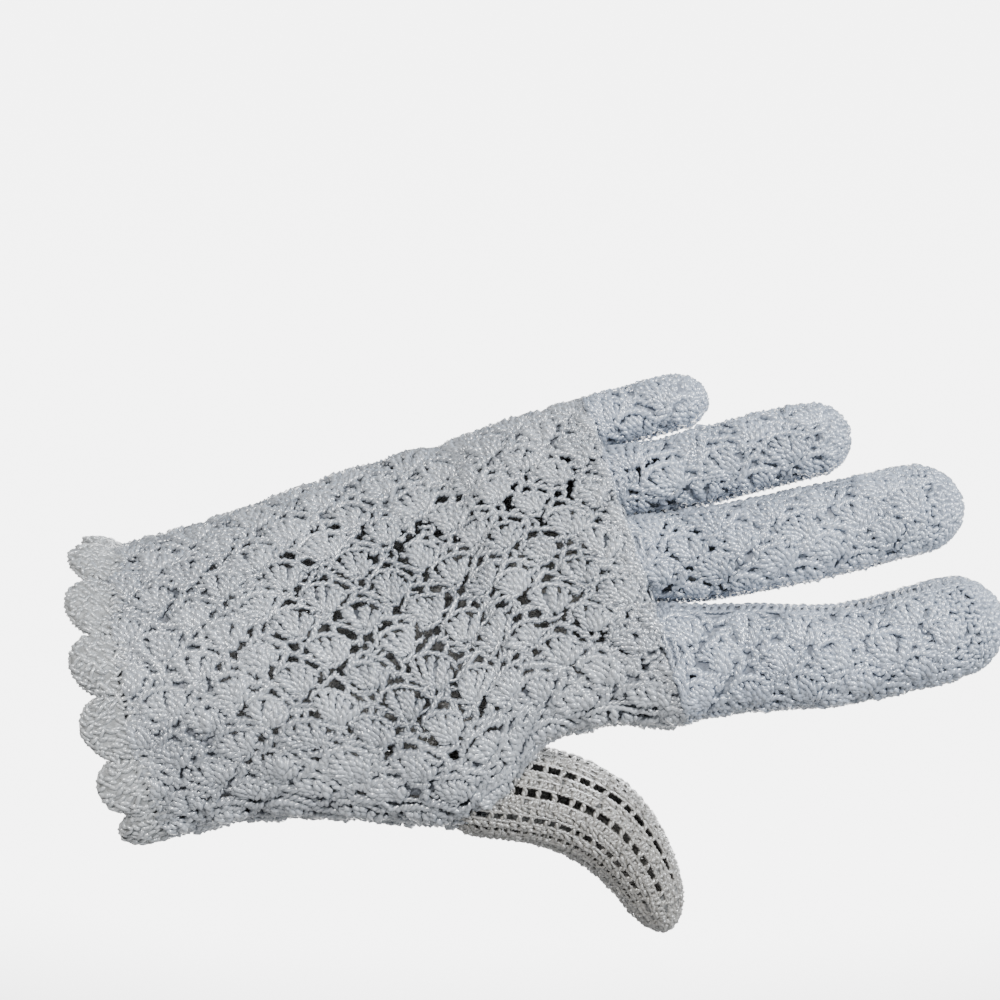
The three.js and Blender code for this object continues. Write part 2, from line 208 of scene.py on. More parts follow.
@dataclass
class Form:
    """A hand, thumb or finger: superellipse sections on a smooth centre line.

    Attributes:
        sections: Rows of the eight section columns.
        tip: Length over which a closed tip rounds off, or 0 for an open form.
        rows: The sections as an array.
        along: Distance of each section along the centre line.
        slopes: Change of each column with that distance.
        length: Length of the centre line.
    """

    sections: tuple[tuple[float, ...], ...]
    tip: float = 0.0
    rows: Array = field(init=False)
    along: Array = field(init=False)
    slopes: Array = field(init=False)
    length: float = field(init=False)

    def __post_init__(self) -> None:
        """Works out the centre line's distances and the slope of each column."""
        self.rows = np.array(self.sections, float)
        self.along = lengths_along(self.rows[None, :, :3])[0]
        self.length = float(self.along[-1])
        index = np.arange(len(self.rows))
        low = np.maximum(index - 1, 0)
        high = np.minimum(index + 1, len(self.rows) - 1)
        self.slopes = (self.rows[high] - self.rows[low]) / (self.along[high] - self.along[low])[:, None]

    def columns(self, distance: Array) -> Array:
        """Values of all columns at distances along the form: a cubic through the rows.

        Args:
            distance: Distances in millimetres, of any shape.

        Returns:
            The eight columns in a last axis.
        """
        i = np.clip(np.searchsorted(self.along, distance) - 1, 0, len(self.rows) - 2)
        span = (self.along[i + 1] - self.along[i])[..., None]
        t = (distance - self.along[i])[..., None] / span
        return cubic(t, self.rows, self.slopes, i, span)

    def point(self, distance: Array, angle: Array, inset: float) -> Array:
        """Points of the form: centre + width across - depth away, on a superellipse.

        Args:
            distance: Distances along the form.
            angle: Angles round it: 0 little-finger side, 90 back, 180 thumb side, 270 palm.
            inset: How far inside the outer surface the points lie.

        Returns:
            Points with x, y, z in a last axis.
        """
        distance, angle = np.broadcast_arrays(np.asarray(distance, float), np.asarray(angle, float))
        c = self.columns(distance)
        shrink = np.ones_like(distance)
        if self.tip > 0:
            end, tip = self.length - inset, self.tip - inset
            past = np.clip((distance - (end - tip)) / tip, 0, 1)
            shrink = np.sqrt(1 - past**2)
        cos, sin = np.cos(np.radians(angle)), np.sin(np.radians(angle))
        power = 2 / c[..., 6]
        width = np.sign(cos) * np.abs(cos) ** power
        depth = np.sign(sin) * np.abs(sin) ** power
        across, away, _ = section_axes(c[..., 5])
        out = (c[..., 3] - inset) * shrink * width
        up = (c[..., 4] - inset) * shrink * depth * (1 - c[..., 7] * width)
        return c[..., :3] + across * out[..., None] - away * up[..., None]


HAND = Form(HAND_SECTIONS)
THUMB = Form(THUMB_SECTIONS, 9.0)
INDEX = Form((seam_section(-24.9, 13.9, 12.3), *INDEX_SECTIONS), 11.0)
MIDDLE = Form((seam_section(-0.9, 9.8, 11.8), *MIDDLE_SECTIONS), 10.0)
RING = Form((seam_section(17.5, 8.3, 10.6), *RING_SECTIONS), 9.0)
LITTLE = Form((seam_section(32.45, 6.35, 7.8), *LITTLE_SECTIONS), 7.5)


@dataclass
class Chart:
    """A stretch of a form as a flat map of length along it and share of the way round it.

    The length follows the surface over a round tip, so that stitches keep their size there.

    Attributes:
        form: The form.
        start: First distance along it.
        from_angle: Angle where the share is 0.
        to_angle: Angle where the share is 1.
        steps_along: Rows of the grid.
        steps_round: Columns of the grid.
        fine_steps: Steps in which the length over the surface is added up.
        length: Length over the surface.
        points: Points of the grid.
        normals: Outward normals of the grid.
        width: Middle value of the rows' lengths round the form.
    """

    form: Form
    start: float
    from_angle: float
    to_angle: float
    steps_along: int = 260
    steps_round: int = 320
    fine_steps: int = 6000
    length: float = field(init=False)
    points: Array = field(init=False)
    normals: Array = field(init=False)
    width: float = field(init=False)

    def __post_init__(self) -> None:
        """Makes the grid: rows at even lengths, angles at even shares, normals by cross product."""
        distance = self._even_rows()
        fine = np.linspace(self.from_angle, self.to_angle, 4 * self.steps_round)
        outline = self.form.point(distance[:, None], fine[None], CLOTH_DEPTH)
        total = lengths_along(outline)
        self.width = float(np.median(total[:, -1]))
        share = total / np.maximum(total[:, -1:], 1e-6)
        lane = 2.0 * np.arange(self.steps_along)[:, None]
        wanted = lane + np.linspace(0, 1, self.steps_round)[None]
        angles = np.interp(wanted.ravel(), (share + lane).ravel(), np.tile(fine, self.steps_along))
        self.points = self.form.point(distance[:, None], angles.reshape(wanted.shape), CLOTH_DEPTH)
        ahead = np.gradient(self.points, axis=0)
        round_it = np.gradient(self.points, axis=1)
        normal = np.cross(round_it, ahead)
        normal /= np.maximum(np.linalg.norm(normal, axis=2, keepdims=True), 1e-9)
        outward = self.points - self.form.columns(distance)[:, None, :3]
        self.normals = np.sign(float(np.sum(normal * outward))) * normal

    def _even_rows(self) -> Array:
        """Distances with even steps on the surface: root of the squared axial and radial steps.

        Returns:
            The distance of each row.
        """
        end = self.form.length - (CLOTH_DEPTH + POLE if self.form.tip > 0 else 0.0)
        fine = np.linspace(self.start, end, self.fine_steps)
        across = self.form.point(fine, np.array(0.0), CLOTH_DEPTH) - self.form.columns(fine)[:, :3]
        radial = np.diff(np.linalg.norm(across, axis=1)) if self.form.tip > 0 else 0.0
        length = np.concatenate([[0.0], np.cumsum(np.hypot(np.diff(fine), radial))])
        self.length = float(length[-1])
        return np.interp(np.linspace(0, self.length, self.steps_along), length, fine)

    def place(self, along: Array, share: Array, height: Array) -> tuple[Array, Array]:
        """Points above the cloth's middle, between the grid's points by two straight blends.

        Args:
            along: Lengths along the chart, kept on it.
            share: Shares of the way round, kept between 0 and 1.
            height: Heights above the middle of the cloth.

        Returns:
            Points and normals.
        """
        along, share, height = np.broadcast_arrays(along, share, height)
        row = np.clip(along / self.length, 0, 1) * (self.steps_along - 1)
        column = np.clip(share, 0, 1) * (self.steps_round - 1)
        i = np.clip(row.astype(int), 0, self.steps_along - 2)
        j = np.clip(column.astype(int), 0, self.steps_round - 2)
        s, t = (row - i)[..., None], (column - j)[..., None]

        def between(grid: Array) -> Array:
            """Blends a grid at the wanted places, first round the form and then along it."""
            low, high = (grid[row, j] * (1 - t) + grid[row, j + 1] * t for row in (i, i + 1))
            return low * (1 - s) + high * s

        normal = between(self.normals)
        normal /= np.maximum(np.linalg.norm(normal, axis=-1, keepdims=True), 1e-9)
        return between(self.points) + normal * height[..., None], normal


def smooth_line(corners: Array, count: int) -> Array:
    """A smooth line through corner points: cubic pieces with the slope of the neighbours' chord.

    Args:
        corners: Corner points, one a row.
        count: Number of points wanted.

    Returns:
        Points of the line, evenly spread between the corners.
    """
    corners = np.asarray(corners, float)
    n = len(corners)
    slope = (corners[np.minimum(np.arange(n) + 1, n - 1)] - corners[np.maximum(np.arange(n) - 1, 0)]) / 2
    slope[[0, -1]] *= 2
    u = np.linspace(0, n - 1, count)
    i = np.minimum(u.astype(int), n - 2)
    return cubic((u - i)[:, None], corners, slope, i)


@dataclass(frozen=True)
class Ply:
    """Two strands that wind round each other.

    Attributes:
        radius: Radius of one strand.
        spread: Distance of each strand from the middle.
        pitch: Length of one turn.
    """

    radius: float
    spread: float
    pitch: float


FAN_PLY = Ply(0.52, 0.48, 2.9)
ARC_PLY = Ply(0.44, 0.36, 2.9)
BAR_PLY = Ply(0.42, 0.34, 2.9)
SINGLE_PLY = Ply(0.46, 0.38, 2.9)
POST_PLY = Ply(0.5, 0.44, 2.8)
CHAIN_PLY = Ply(0.33, 0.27, 2.25)
SEAM_PLY = Ply(0.46, 0.4, 2.6)
ROOT_PLY = Ply(0.46, 0.42, 2.5)
RIM_PLY = Ply(0.48, 0.42, 2.1)


def new_object(name: str, vertices: Array, faces: list[Array], uv: Array,
               tone: Array) -> bpy.types.Object:
    """Makes a smooth mesh object at the origin from whole arrays.

    Args:
        name: Piece name.
        vertices: Points in millimetres.
        faces: Arrays of corner indices, one array for each number of corners.
        uv: Coordinates of each vertex, spread to its corners.
        tone: Lightness of each vertex, painted shade included, kept as the attribute tone.

    Returns:
        The object, linked to the scene.
    """
    mesh = bpy.data.meshes.new(name)
    corners = np.concatenate([block.ravel() for block in faces]).astype(np.int32)
    sizes = np.concatenate([np.full(len(block), block.shape[1]) for block in faces])
    starts = np.concatenate([[0], np.cumsum(sizes)[:-1]]).astype(np.int32)
    mesh.vertices.add(len(vertices))
    mesh.vertices.foreach_set("co", (vertices * MM).astype(np.float32).ravel())
    mesh.loops.add(len(corners))
    mesh.loops.foreach_set("vertex_index", corners)
    mesh.polygons.add(len(sizes))
    mesh.polygons.foreach_set("loop_start", starts)
    mesh.polygons.foreach_set("use_smooth", np.ones(len(sizes), bool))
    layer = mesh.uv_layers.new(name="yarn")
    layer.data.foreach_set("uv", uv[corners].astype(np.float32).ravel())
    attribute = mesh.attributes.new("tone", "FLOAT", "POINT")
    attribute.data.foreach_set("value", tone.astype(np.float32))
    mesh.update(calc_edges=True)
    mesh.validate()
    piece = bpy.data.objects.new(name, mesh)
    bpy.context.scene.collection.objects.link(piece)
    return piece


def grid_faces(index: Array, after: Array) -> Array:
    """Quads between each two rows of points and the same rows of their neighbours.

    Args:
        index: Indices of the points, shaped grids by rows by columns.
        after: Indices of their neighbours in the next column.

    Returns:
        Four corners a quad.
    """
    return np.stack([index[:, :-1], index[:, 1:], after[:, 1:], after[:, :-1]], -1).reshape(-1, 4)


@dataclass
class Yarn:
    """Collects strands and sweeps them into one mesh of round tubes with closed ends.

    Attributes:
        sides: Sides of a tube.
        batches: Points, normals, radii and tones of the strands, one tuple for each call of lay.
    """

    sides: int = 5
    batches: list[tuple[Array, Array, Array, Array]] = field(default_factory=list)

    def lay(self, centres: Array, normals: Array, radius: Array | float, tone: Array,
            taper: float = 0.45) -> None:
        """Adds strands, with ends that narrow a little.

        Args:
            centres: Points of each strand, shaped strands by points by 3.
            normals: Cloth normals at those points.
            radius: Radius of the tube.
            tone: Lightness of each strand, or of each of its points.
            taper: Share of the radius at the two ends.
        """
        width = np.broadcast_to(radius, centres.shape[:1])[:, None] * np.ones(centres.shape[:2])
        width[:, [0, -1]] *= taper
        tone = np.asarray(tone, float)
        tone = tone if tone.ndim == 2 else np.broadcast_to(tone, centres.shape[:1])[:, None]
        self.batches.append((centres, normals, width, np.broadcast_to(tone, centres.shape[:2])))

    def twist(self, centres: Array, normals: Array, ply: Ply, tone: Array, phase: Array | float = 0.0,
              size: Array | float = 1.0, girth: Array | float = 1.0, flatten: float = 0.9) -> None:
        """Adds pairs of strands that wind round each other, as loops of a stitch do.

        Args:
            centres: Points of each pair's middle.
            normals: Cloth normals at those points.
            ply: Radius, spread and pitch of the pairs.
            tone: Lightness of each pair.
            phase: Turn at the start, as a share of a whole one.
            size: Factor of each pair's radius and spread.
            girth: Factor of each pair's radius alone.
            flatten: Share of the spread that is left across the cloth's thickness.
        """
        spread = ply.spread * np.broadcast_to(size, centres.shape[:1])[:, None, None]
        side, up = self._frames(centres, normals)
        turns = lengths_along(centres) / ply.pitch + np.broadcast_to(phase, centres.shape[:1])[:, None]
        turn = 2 * np.pi * turns
        offset = spread * (np.cos(turn)[..., None] * side + flatten * np.sin(turn)[..., None] * up)
        for sign in (1, -1):
            self.lay(centres + sign * offset, normals, ply.radius * size * girth, tone)

    @staticmethod
    def _frames(centres: Array, normals: Array) -> tuple[Array, Array]:
        """Directions of each strand: the side is square to its tangent and to the cloth's normal.

        Args:
            centres: Points of each strand.
            normals: Cloth normals at those points.

        Returns:
            Side and up at each point.
        """
        tangent = np.gradient(centres, axis=1)
        tangent /= np.maximum(np.linalg.norm(tangent, axis=2, keepdims=True), 1e-9)
        side = np.cross(tangent, normals)
        side /= np.maximum(np.linalg.norm(side, axis=2, keepdims=True), 1e-9)
        return side, np.cross(side, tangent)

    def _sweep(self, centres: Array, normals: Array, width: Array) -> tuple[Array, list[Array], Array]:
        """Rings of centre + radius (cos side + sin up), joined by quads and closed at the ends.

        Args:
            centres: Points of each strand.
            normals: Cloth normals at those points.
            width: Radius at those points.

        Returns:
            Vertices, the quads and end faces, and length and side of each vertex as its UV.
        """
        strands, count = width.shape
        side, up = self._frames(centres, normals)
        around = 2 * np.pi * np.arange(self.sides) / self.sides
        ring = np.cos(around)[:, None] * side[:, :, None] + np.sin(around)[:, None] * up[:, :, None]
        vertices = (centres[:, :, None] + width[:, :, None, None] * ring).reshape(-1, 3)
        index = np.arange(strands * count * self.sides).reshape(strands, count, self.sides)
        quads = grid_faces(index, np.roll(index, -1, axis=2))
        ends = np.concatenate([index[:, 0], index[:, -1, ::-1]])
        u = np.broadcast_to(lengths_along(centres)[:, :, None], index.shape)
        v = np.broadcast_to(np.abs(2 * np.arange(self.sides) / self.sides - 1), index.shape)
        return vertices, [quads, ends], np.stack([u, v], -1).reshape(-1, 2)

    def piece(self, name: str) -> bpy.types.Object:
        """Makes the object of all strands that were laid.

        Args:
            name: Piece name.

        Returns:
            The object.
        """
        vertices, quads, ends, uv, tone, base = [], [], [], [], [], 0
        for centres, normals, width, light in self.batches:
            points, (sides, caps), coordinates = self._sweep(centres, normals, width)
            vertices.append(points)
            quads.append(sides + base)
            ends.append(caps + base)
            uv.append(coordinates)
            facing = np.sin(2 * np.pi * np.arange(self.sides) / self.sides)
            # Painted shade: each strand's side towards the cloth is darker, its outer side lighter.
            tone.append((light[:, :, None] + PAINTED_UNDERSIDE_SHADE * facing - PAINTED_UNDERSIDE_SHADE / 2).ravel())
            base += len(points)
        vertices, quads, ends, uv, tone = map(np.concatenate, (vertices, quads, ends, uv, tone))
        return new_object(name, vertices, [quads, ends], uv, tone)


@dataclass
class Ground:
    """Collects thin closed slabs that fill the cloth behind dense stitches.

    Attributes:
        cell: Size of a patch's faces.
        thickness: Thickness of a patch.
        batches: Grids of outer and inner points, one tuple for each call of lay.
    """

    cell: float = 3.0
    thickness: float = 0.4
    batches: list[tuple[Array, Array]] = field(default_factory=list)

    def lay(self, outer: Array, inner: Array) -> None:
        """Adds slabs given as grids of points, each shaped slabs by rows by columns by 3."""
        self.batches.append((outer, inner))

    def lay_sheet(self, place: Place, first: Array, second: Array, top: Array | float,
                  bottom: Array | float) -> None:
        """Adds slabs between two heights above a surface.

        Args:
            place: Gives the surface's points.
            first: First coordinate of the points.
            second: Second coordinate of the points.
            top: Height of the outer side.
            bottom: Height of the inner side.
        """
        outer, inner = (place(first, second, np.asarray(height, float))[0] for height in (top, bottom))
        shape = (-1, *outer.shape[-3:])
        self.lay(outer.reshape(shape), inner.reshape(shape))

    def lay_patch(self, chart: Chart, along: tuple[float, float], share: tuple[float, float],
                  height: float = -0.4) -> None:
        """Adds one slab over a stretch of a chart.

        Args:
            chart: Where it lies.
            along: First and last length.
            share: First and last share of the way round.
            height: Height of its outer side above the middle of the cloth.
        """
        rows = np.linspace(*along, max(4, round((along[1] - along[0]) / self.cell)))[:, None]
        columns = max(4, round((share[1] - share[0]) * chart.width / self.cell))
        columns = np.linspace(*share, columns)[None]
        self.lay_sheet(chart.place, rows, columns, height, height - self.thickness)

    @staticmethod
    def _slab(outer: Array, inner: Array) -> tuple[Array, Array, Array]:
        """Outer and inner grids joined by a band round their border.

        Args:
            outer: Outer points of the slabs.
            inner: Inner points of the slabs.

        Returns:
            Vertices, quads, and row and column of each vertex as its UV.
        """
        slabs, rows, columns = outer.shape[:3]
        vertices = np.stack([outer, inner], 1).reshape(-1, 3)
        index = np.arange(len(vertices)).reshape(slabs, 2, rows, columns)
        a, b = index[:, 0], index[:, 1]
        top = grid_faces(a[:, :, :-1], a[:, :, 1:])
        bottom = grid_faces(b[:, :, :-1], b[:, :, 1:])[:, [0, 3, 2, 1]]

        def border(grid: Array) -> Array:
            """Indices round a grid's border, once round."""
            sides = [grid[:, 0, :-1], grid[:, :-1, -1], grid[:, -1, :0:-1], grid[:, :0:-1, 0]]
            return np.concatenate(sides, 1)

        ra, rb = border(a), border(b)
        na, nb = np.roll(ra, -1, axis=1), np.roll(rb, -1, axis=1)
        rim = np.stack([ra, na, nb, rb], -1).reshape(-1, 4)
        row, column = np.meshgrid(np.arange(rows), np.arange(columns), indexing="ij")
        uv = np.broadcast_to(np.stack([row, column], -1), (slabs, 2, rows, columns, 2)).reshape(-1, 2)
        return vertices, np.concatenate([top, bottom, rim]), uv.astype(float)

    def piece(self, name: str) -> bpy.types.Object:
        """Makes the object of all slabs, with faces that point outwards.

        Args:
            name: Piece name.

        Returns:
            The object, whose tone is 0 on the outer sides and 1 on the inner ones, which its finish
            paints lighter as painted light.
        """
        vertices, faces, uv, inside, base = [], [], [], [], 0
        for outer, inner in self.batches:
            points, quads, coordinates = self._slab(outer, inner)
            across = np.cross(outer[:, 1, 0] - outer[:, 0, 0], outer[:, 0, 1] - outer[:, 0, 0])
            if float(np.sum(across * (outer - inner)[:, 0, 0])) < 0:
                quads = quads[:, ::-1]
            vertices.append(points)
            faces.append(quads + base)
            uv.append(coordinates)
            shape = (len(outer), 2, outer[0, ..., 0].size)
            inside.append(np.broadcast_to([[0.0], [1.0]], shape).ravel())
            base += len(points)
        vertices, faces, uv, tone = map(np.concatenate, (vertices, faces, uv, inside))
        return new_object(name, vertices, [faces], uv, tone)


class Recipe:
    """A material's nodes, added one by one and linked by socket."""

    def __init__(self, name: str) -> None:
        """Starts an empty node tree with a Principled shader and its output.

        Args:
            name: Name of the material.
        """
        self.material = bpy.data.materials.new(name)
        self.material.use_nodes = True
        self.tree = self.material.node_tree
        self.tree.nodes.clear()
        self.shader = self.node("ShaderNodeBsdfPrincipled")
        self.link(self.shader.outputs["BSDF"], self.node("ShaderNodeOutputMaterial").inputs["Surface"])

    def node(self, kind: str, **settings: object) -> bpy.types.Node:
        """Adds a node and sets its properties.

        Args:
            kind: Type of the node.
            settings: Its properties.

        Returns:
            The node.
        """
        made = self.tree.nodes.new(kind)
        for name, value in settings.items():
            setattr(made, name, value)
        return made

    def link(self, source: bpy.types.NodeSocket, target: bpy.types.NodeSocket) -> None:
        """Joins an output to an input."""
        self.tree.links.new(source, target)

    def set(self, values: dict[str, object]) -> None:
        """Sets values on the shader's own sockets.

        Args:
            values: Each socket's name with its value.
        """
        for name, value in values.items():
            self.shader.inputs[name].default_value = value

    def math(self, operation: str, *values: object) -> bpy.types.NodeSocket:
        """Adds a Math node.

        Args:
            operation: The node's operation.
            values: Sockets to link or numbers to set, in order.

        Returns:
            The node's output.
        """
        made = self.node("ShaderNodeMath", operation=operation)
        for socket, value in zip(made.inputs, values):
            if isinstance(value, bpy.types.NodeSocket):
                self.link(value, socket)
            else:
                socket.default_value = value
        return made.outputs["Value"]

    def noise(self, scale: float, detail: float) -> bpy.types.NodeSocket:
        """Adds a noise on Object coordinates.

        Args:
            scale: Noise cells in a metre.
            detail: Number of finer layers.

        Returns:
            Its factor.
        """
        place = self.node("ShaderNodeTexCoord")
        made = self.node("ShaderNodeTexNoise")
        made.inputs["Scale"].default_value = scale
        made.inputs["Detail"].default_value = detail
        self.link(place.outputs["Object"], made.inputs["Vector"])
        return made.outputs["Fac"]

    def cells(self, scale: float) -> bpy.types.NodeSocket:
        """Adds rounded cells on Object coordinates.

        Args:
            scale: Cells in a metre.

        Returns:
            The distance from the nearest cell's middle, in cells.
        """
        place = self.node("ShaderNodeTexCoord")
        made = self.node("ShaderNodeTexVoronoi", feature="SMOOTH_F1")
        made.inputs["Scale"].default_value = scale
        made.inputs["Smoothness"].default_value = 0.2
        self.link(place.outputs["Object"], made.inputs["Vector"])
        return made.outputs["Distance"]

    def ramp(self, factor: bpy.types.NodeSocket,
             stops: list[tuple[float, tuple]]) -> bpy.types.NodeSocket:
        """Adds a colour ramp.

        Args:
            factor: What drives it.
            stops: Positions with linear colours.

        Returns:
            Its colour.
        """
        made = self.node("ShaderNodeValToRGB")
        ramp = made.color_ramp
        while len(ramp.elements) < len(stops):
            ramp.elements.new(0.5)
        for element, (position, color) in zip(ramp.elements, stops):
            element.position = position
            element.color = (*color, 1.0)
        self.link(factor, made.inputs["Fac"])
        return made.outputs["Color"]

    def relief(self, height: bpy.types.NodeSocket, strength: float, depth: float) -> None:
        """Puts a bump on the shader's normal.

        Args:
            height: What lifts the surface.
            strength: Share of the bump.
            depth: Rise for a height of 1, in metres.
        """
        bump = self.node("ShaderNodeBump")
        bump.inputs["Strength"].default_value = strength
        bump.inputs["Distance"].default_value = depth
        self.link(height, bump.inputs["Height"])
        self.link(bump.outputs["Normal"], self.shader.inputs["Normal"])


@dataclass(frozen=True)
class YarnFinish:
    """Smooth cotton yarn, painted from a cool shade in its hollows to a bright top.

    Attributes:
        name: Name of the material.
        shade_color: Linear colour of painted shade, on strands that lie low or thin.
        bright: Linear colour of strands that stand out.
        roughness: Roughness of the yarn.
        ply_turn: Length of one turn of the plies, in millimetres.
        scales: Noise cells in a metre, and layers, of the ridges' drift, the fibres and the patches.
        shades: Share in the colour, and middle, of the ridges, whose grooves get painted shade, the
            fibres, and the wide patches, which are painted shade as of the cloth's undulation.
        gloss: Coat's index of refraction and roughness, of mercerised cotton.
        sheen: Weight and roughness of the fibres' sheen.
        relief: Height of the ply ridges in metres.
    """

    name: str
    shade_color: tuple[float, float, float]
    bright: tuple[float, float, float]
    roughness: float
    ply_turn: float = 1.15
    scales: tuple[tuple[float, float], ...] = ((160.0, 0.0), (1800.0, 1.0), (55.0, 1.0))
    shades: tuple[tuple[float, float], ...] = ((0.35, 0.63), (0.24, 0.5), (0.8, 0.575))
    gloss: tuple[float, float] = (2.1, 0.19)
    sheen: tuple[float, float] = (0.1, 0.4)
    relief: float = 0.00006

    def material(self) -> bpy.types.Material:
        """Ply ridges are a sine of length and side; tone, ridges and fibres mix the colours, with painted
        shade from the tone, the ridges' grooves and the wide patches.

        Returns:
            The material.
        """
        recipe = Recipe(self.name)
        place = recipe.node("ShaderNodeUVMap", uv_map="yarn")
        split = recipe.node("ShaderNodeSeparateXYZ")
        recipe.link(place.outputs["UV"], split.inputs["Vector"])
        drift, fibres, patches = (recipe.noise(scale, detail) for scale, detail in self.scales)
        length = recipe.math("MULTIPLY_ADD", drift, 2.0 * self.ply_turn, split.outputs["X"])
        turns = recipe.math("MULTIPLY", length, np.pi / self.ply_turn)
        across = recipe.math("MULTIPLY", split.outputs["Y"], 0.5 * np.pi)
        wave = recipe.math("ABSOLUTE", recipe.math("SINE", recipe.math("ADD", turns, across)))
        ridges = recipe.math("POWER", wave, 0.6)
        light = recipe.node("ShaderNodeAttribute", attribute_name="tone").outputs["Fac"]
        # Painted shade: the grooves between ply ridges and the wide patches darken the colour; the fibres
        # vary it at random.
        for pattern, (share, middle) in zip((ridges, fibres, patches), self.shades):
            shade = recipe.math("MULTIPLY_ADD", pattern, share, -middle * share)
            light = recipe.math("ADD", light, shade)
        color = recipe.ramp(light, [(0.0, self.shade_color), (1.0, self.bright)])
        recipe.link(color, recipe.shader.inputs["Base Color"])
        recipe.set({
            "Roughness": self.roughness, "Specular IOR Level": 1.0,
            "Coat Weight": 1.0, "Coat IOR": self.gloss[0], "Coat Roughness": self.gloss[1],
            "Sheen Weight": self.sheen[0], "Sheen Roughness": self.sheen[1],
        })
        recipe.relief(recipe.math("MULTIPLY_ADD", fibres, 0.3, ridges), 1.0, self.relief)
        return recipe.material


@dataclass(frozen=True)
class GroundFinish:
    """The matted yarn that shows between dense stitches, coloured with painted shade for the gaps.

    Attributes:
        name: Name of the material.
        shade_color: Linear colour of the painted shade in its hollows.
        bright: Linear colour of its tops.
        loops: Loops in a metre.
        relief: Height of the loops in metres.
    """

    name: str
    shade_color: tuple[float, float, float]
    bright: tuple[float, float, float]
    loops: float = 620.0
    relief: float = 0.0004

    def material(self) -> bpy.types.Material:
        """Cells of the loops' size, and a noise of the fibres', mix the colours and lift the relief; the
        hollows get painted shade and the inner sides painted light.

        Returns:
            The material.
        """
        recipe = Recipe(self.name)
        loops = recipe.math("SUBTRACT", 1.0, recipe.cells(self.loops))
        height = recipe.math("MULTIPLY_ADD", recipe.noise(2600.0, 2.0), 0.3, loops)
        tone = recipe.node("ShaderNodeAttribute", attribute_name="tone").outputs["Fac"]
        # Painted light: inner sides, whose tone is 1, come out lighter; the hollows between loops get
        # painted shade.
        light = recipe.math("MULTIPLY_ADD", tone, 0.25, height)
        color = recipe.ramp(light, [(0.5, self.shade_color), (0.95, self.bright)])
        recipe.link(color, recipe.shader.inputs["Base Color"])
        recipe.set({"Roughness": 0.8, "Sheen Weight": 0.2})
        recipe.relief(height, 0.9, self.relief)
        return recipe.material


@dataclass(frozen=True)
class Stitch:
    """One pair of strands of a repeat: corner points as along, towards the fan's rim, and height.

    Attributes:
        corners: Corner points in millimetres from the shell's point.
        count: Points of each strand.
        ply: Radius, spread and pitch of the pair.
        tone: Lightness.
    """

    corners: tuple[tuple[float, float, float], ...]
    count: int
    ply: Ply
    tone: float


@dataclass(frozen=True)
class ShellMotif:
    """The lace's repeat: a fan of fat posts, its rim, a chain past it and a single post.

    Attributes:
        repeat: Length of a repeat along its row.
        pitch: Distance from row to row.
        middle: How far past its point a shell's middle lies, about which it turns.
        rim: Points where the fan's posts end.
    """

    repeat: float = 14.2
    pitch: float = 6.4
    middle: float = 3.5
    rim: tuple[tuple[float, float], ...] = (
        (-3.9, 4.9), (-2.6, 6.0), (-0.8, 6.3), (0.9, 6.0), (2.4, 5.2), (3.4, 3.9),
    )

    def stitches(self) -> list[Stitch]:
        """The strands of one repeat.

        Returns:
            A post for each rim point, then the rim, the chain and the short strands between holes.
        """
        posts = [
            Stitch(((0.22 * x, 0.1 * z - 0.4, 0.0), (0.6 * x, 0.42 * z, 0.8), (0.9 * x, 0.77 * z, 1.05),
                    (1.04 * x, z, 0.6)), 9, FAN_PLY, 0.8)
            for x, z in self.rim
        ]
        rim = Stitch(((-4.4, 4.0, 0.0), (-4.6, 5.5, 0.35), (-2.8, 6.75, 0.6), (-0.6, 7.0, 0.6),
                      (1.6, 6.5, 0.6), (3.4, 5.4, 0.5), (4.3, 4.0, 0.2)), 15, ARC_PLY, 0.78)
        chain = Stitch(((-1.7, 9.6, 0.1), (0.1, 9.6, 0.4), (1.6, 8.6, 0.45), (3.3, 7.9, 0.4),
                        (5.2, 6.9, 0.4), (6.2, 5.4, 0.3), (6.2, 3.9, 0.2), (5.6, 2.8, 0.0)),
                       16, ARC_PLY, 0.74)
        single = Stitch(((-4.1, 5.9, 0.1), (-2.9, 7.7, 0.45), (-1.9, 9.4, 0.5), (-1.2, 10.4, 0.1)),
                        7, SINGLE_PLY, 0.74)
        eyelet = Stitch(((-0.4, 9.3, 0.1), (1.1, 10.2, 0.35), (1.3, 11.4, 0.35), (0.4, 12.6, 0.1)),
                        7, BAR_PLY, 0.72)
        upper_bar = Stitch(((1.2, 6.2, 0.3), (1.5, 7.5, 0.5), (2.0, 8.9, 0.2)), 5, ARC_PLY, 0.76)
        side_bar = Stitch(((3.7, 4.4, 0.3), (5.0, 5.0, 0.5), (6.4, 5.5, 0.2)), 5, ARC_PLY, 0.76)
        left_bar = Stitch(((-3.2, 2.9, 0.3), (-4.7, 2.5, 0.5), (-6.2, 2.6, 0.2)), 4, BAR_PLY, 0.74)
        low_bar = Stitch(((1.8, 1.7, 0.3), (3.3, 1.3, 0.45), (4.9, 1.6, 0.2)), 4, BAR_PLY, 0.74)
        foot = Stitch(((-2.6, -0.3, 0.2), (-0.9, -0.7, 0.45), (0.6, -0.6, 0.45), (1.9, 0.3, 0.2)),
                      6, ARC_PLY, 0.7)
        return [*posts, rim, chain, single, eyelet, upper_bar, side_bar, left_bar, low_bar, foot]


@dataclass(frozen=True)
class Wander:
    """How much the shells differ from each other, as standard deviations.

    Attributes:
        turn: Turn of a shell, in radians.
        growth: Its size.
        move: Its place.
        light: Its tone.
        ends: How far the ends of a strand drift apart.
        bow: How far the middle of a strand drifts.
        lift: How far it drifts in height.
        girth: Size of a strand's radius.
        shade: Tone of a strand.
    """

    turn: float = 0.2
    growth: float = 0.08
    move: float = 0.35
    light: float = 0.07
    ends: float = 0.4
    bow: float = 0.25
    lift: float = 0.18
    girth: float = 0.1
    shade: float = 0.06


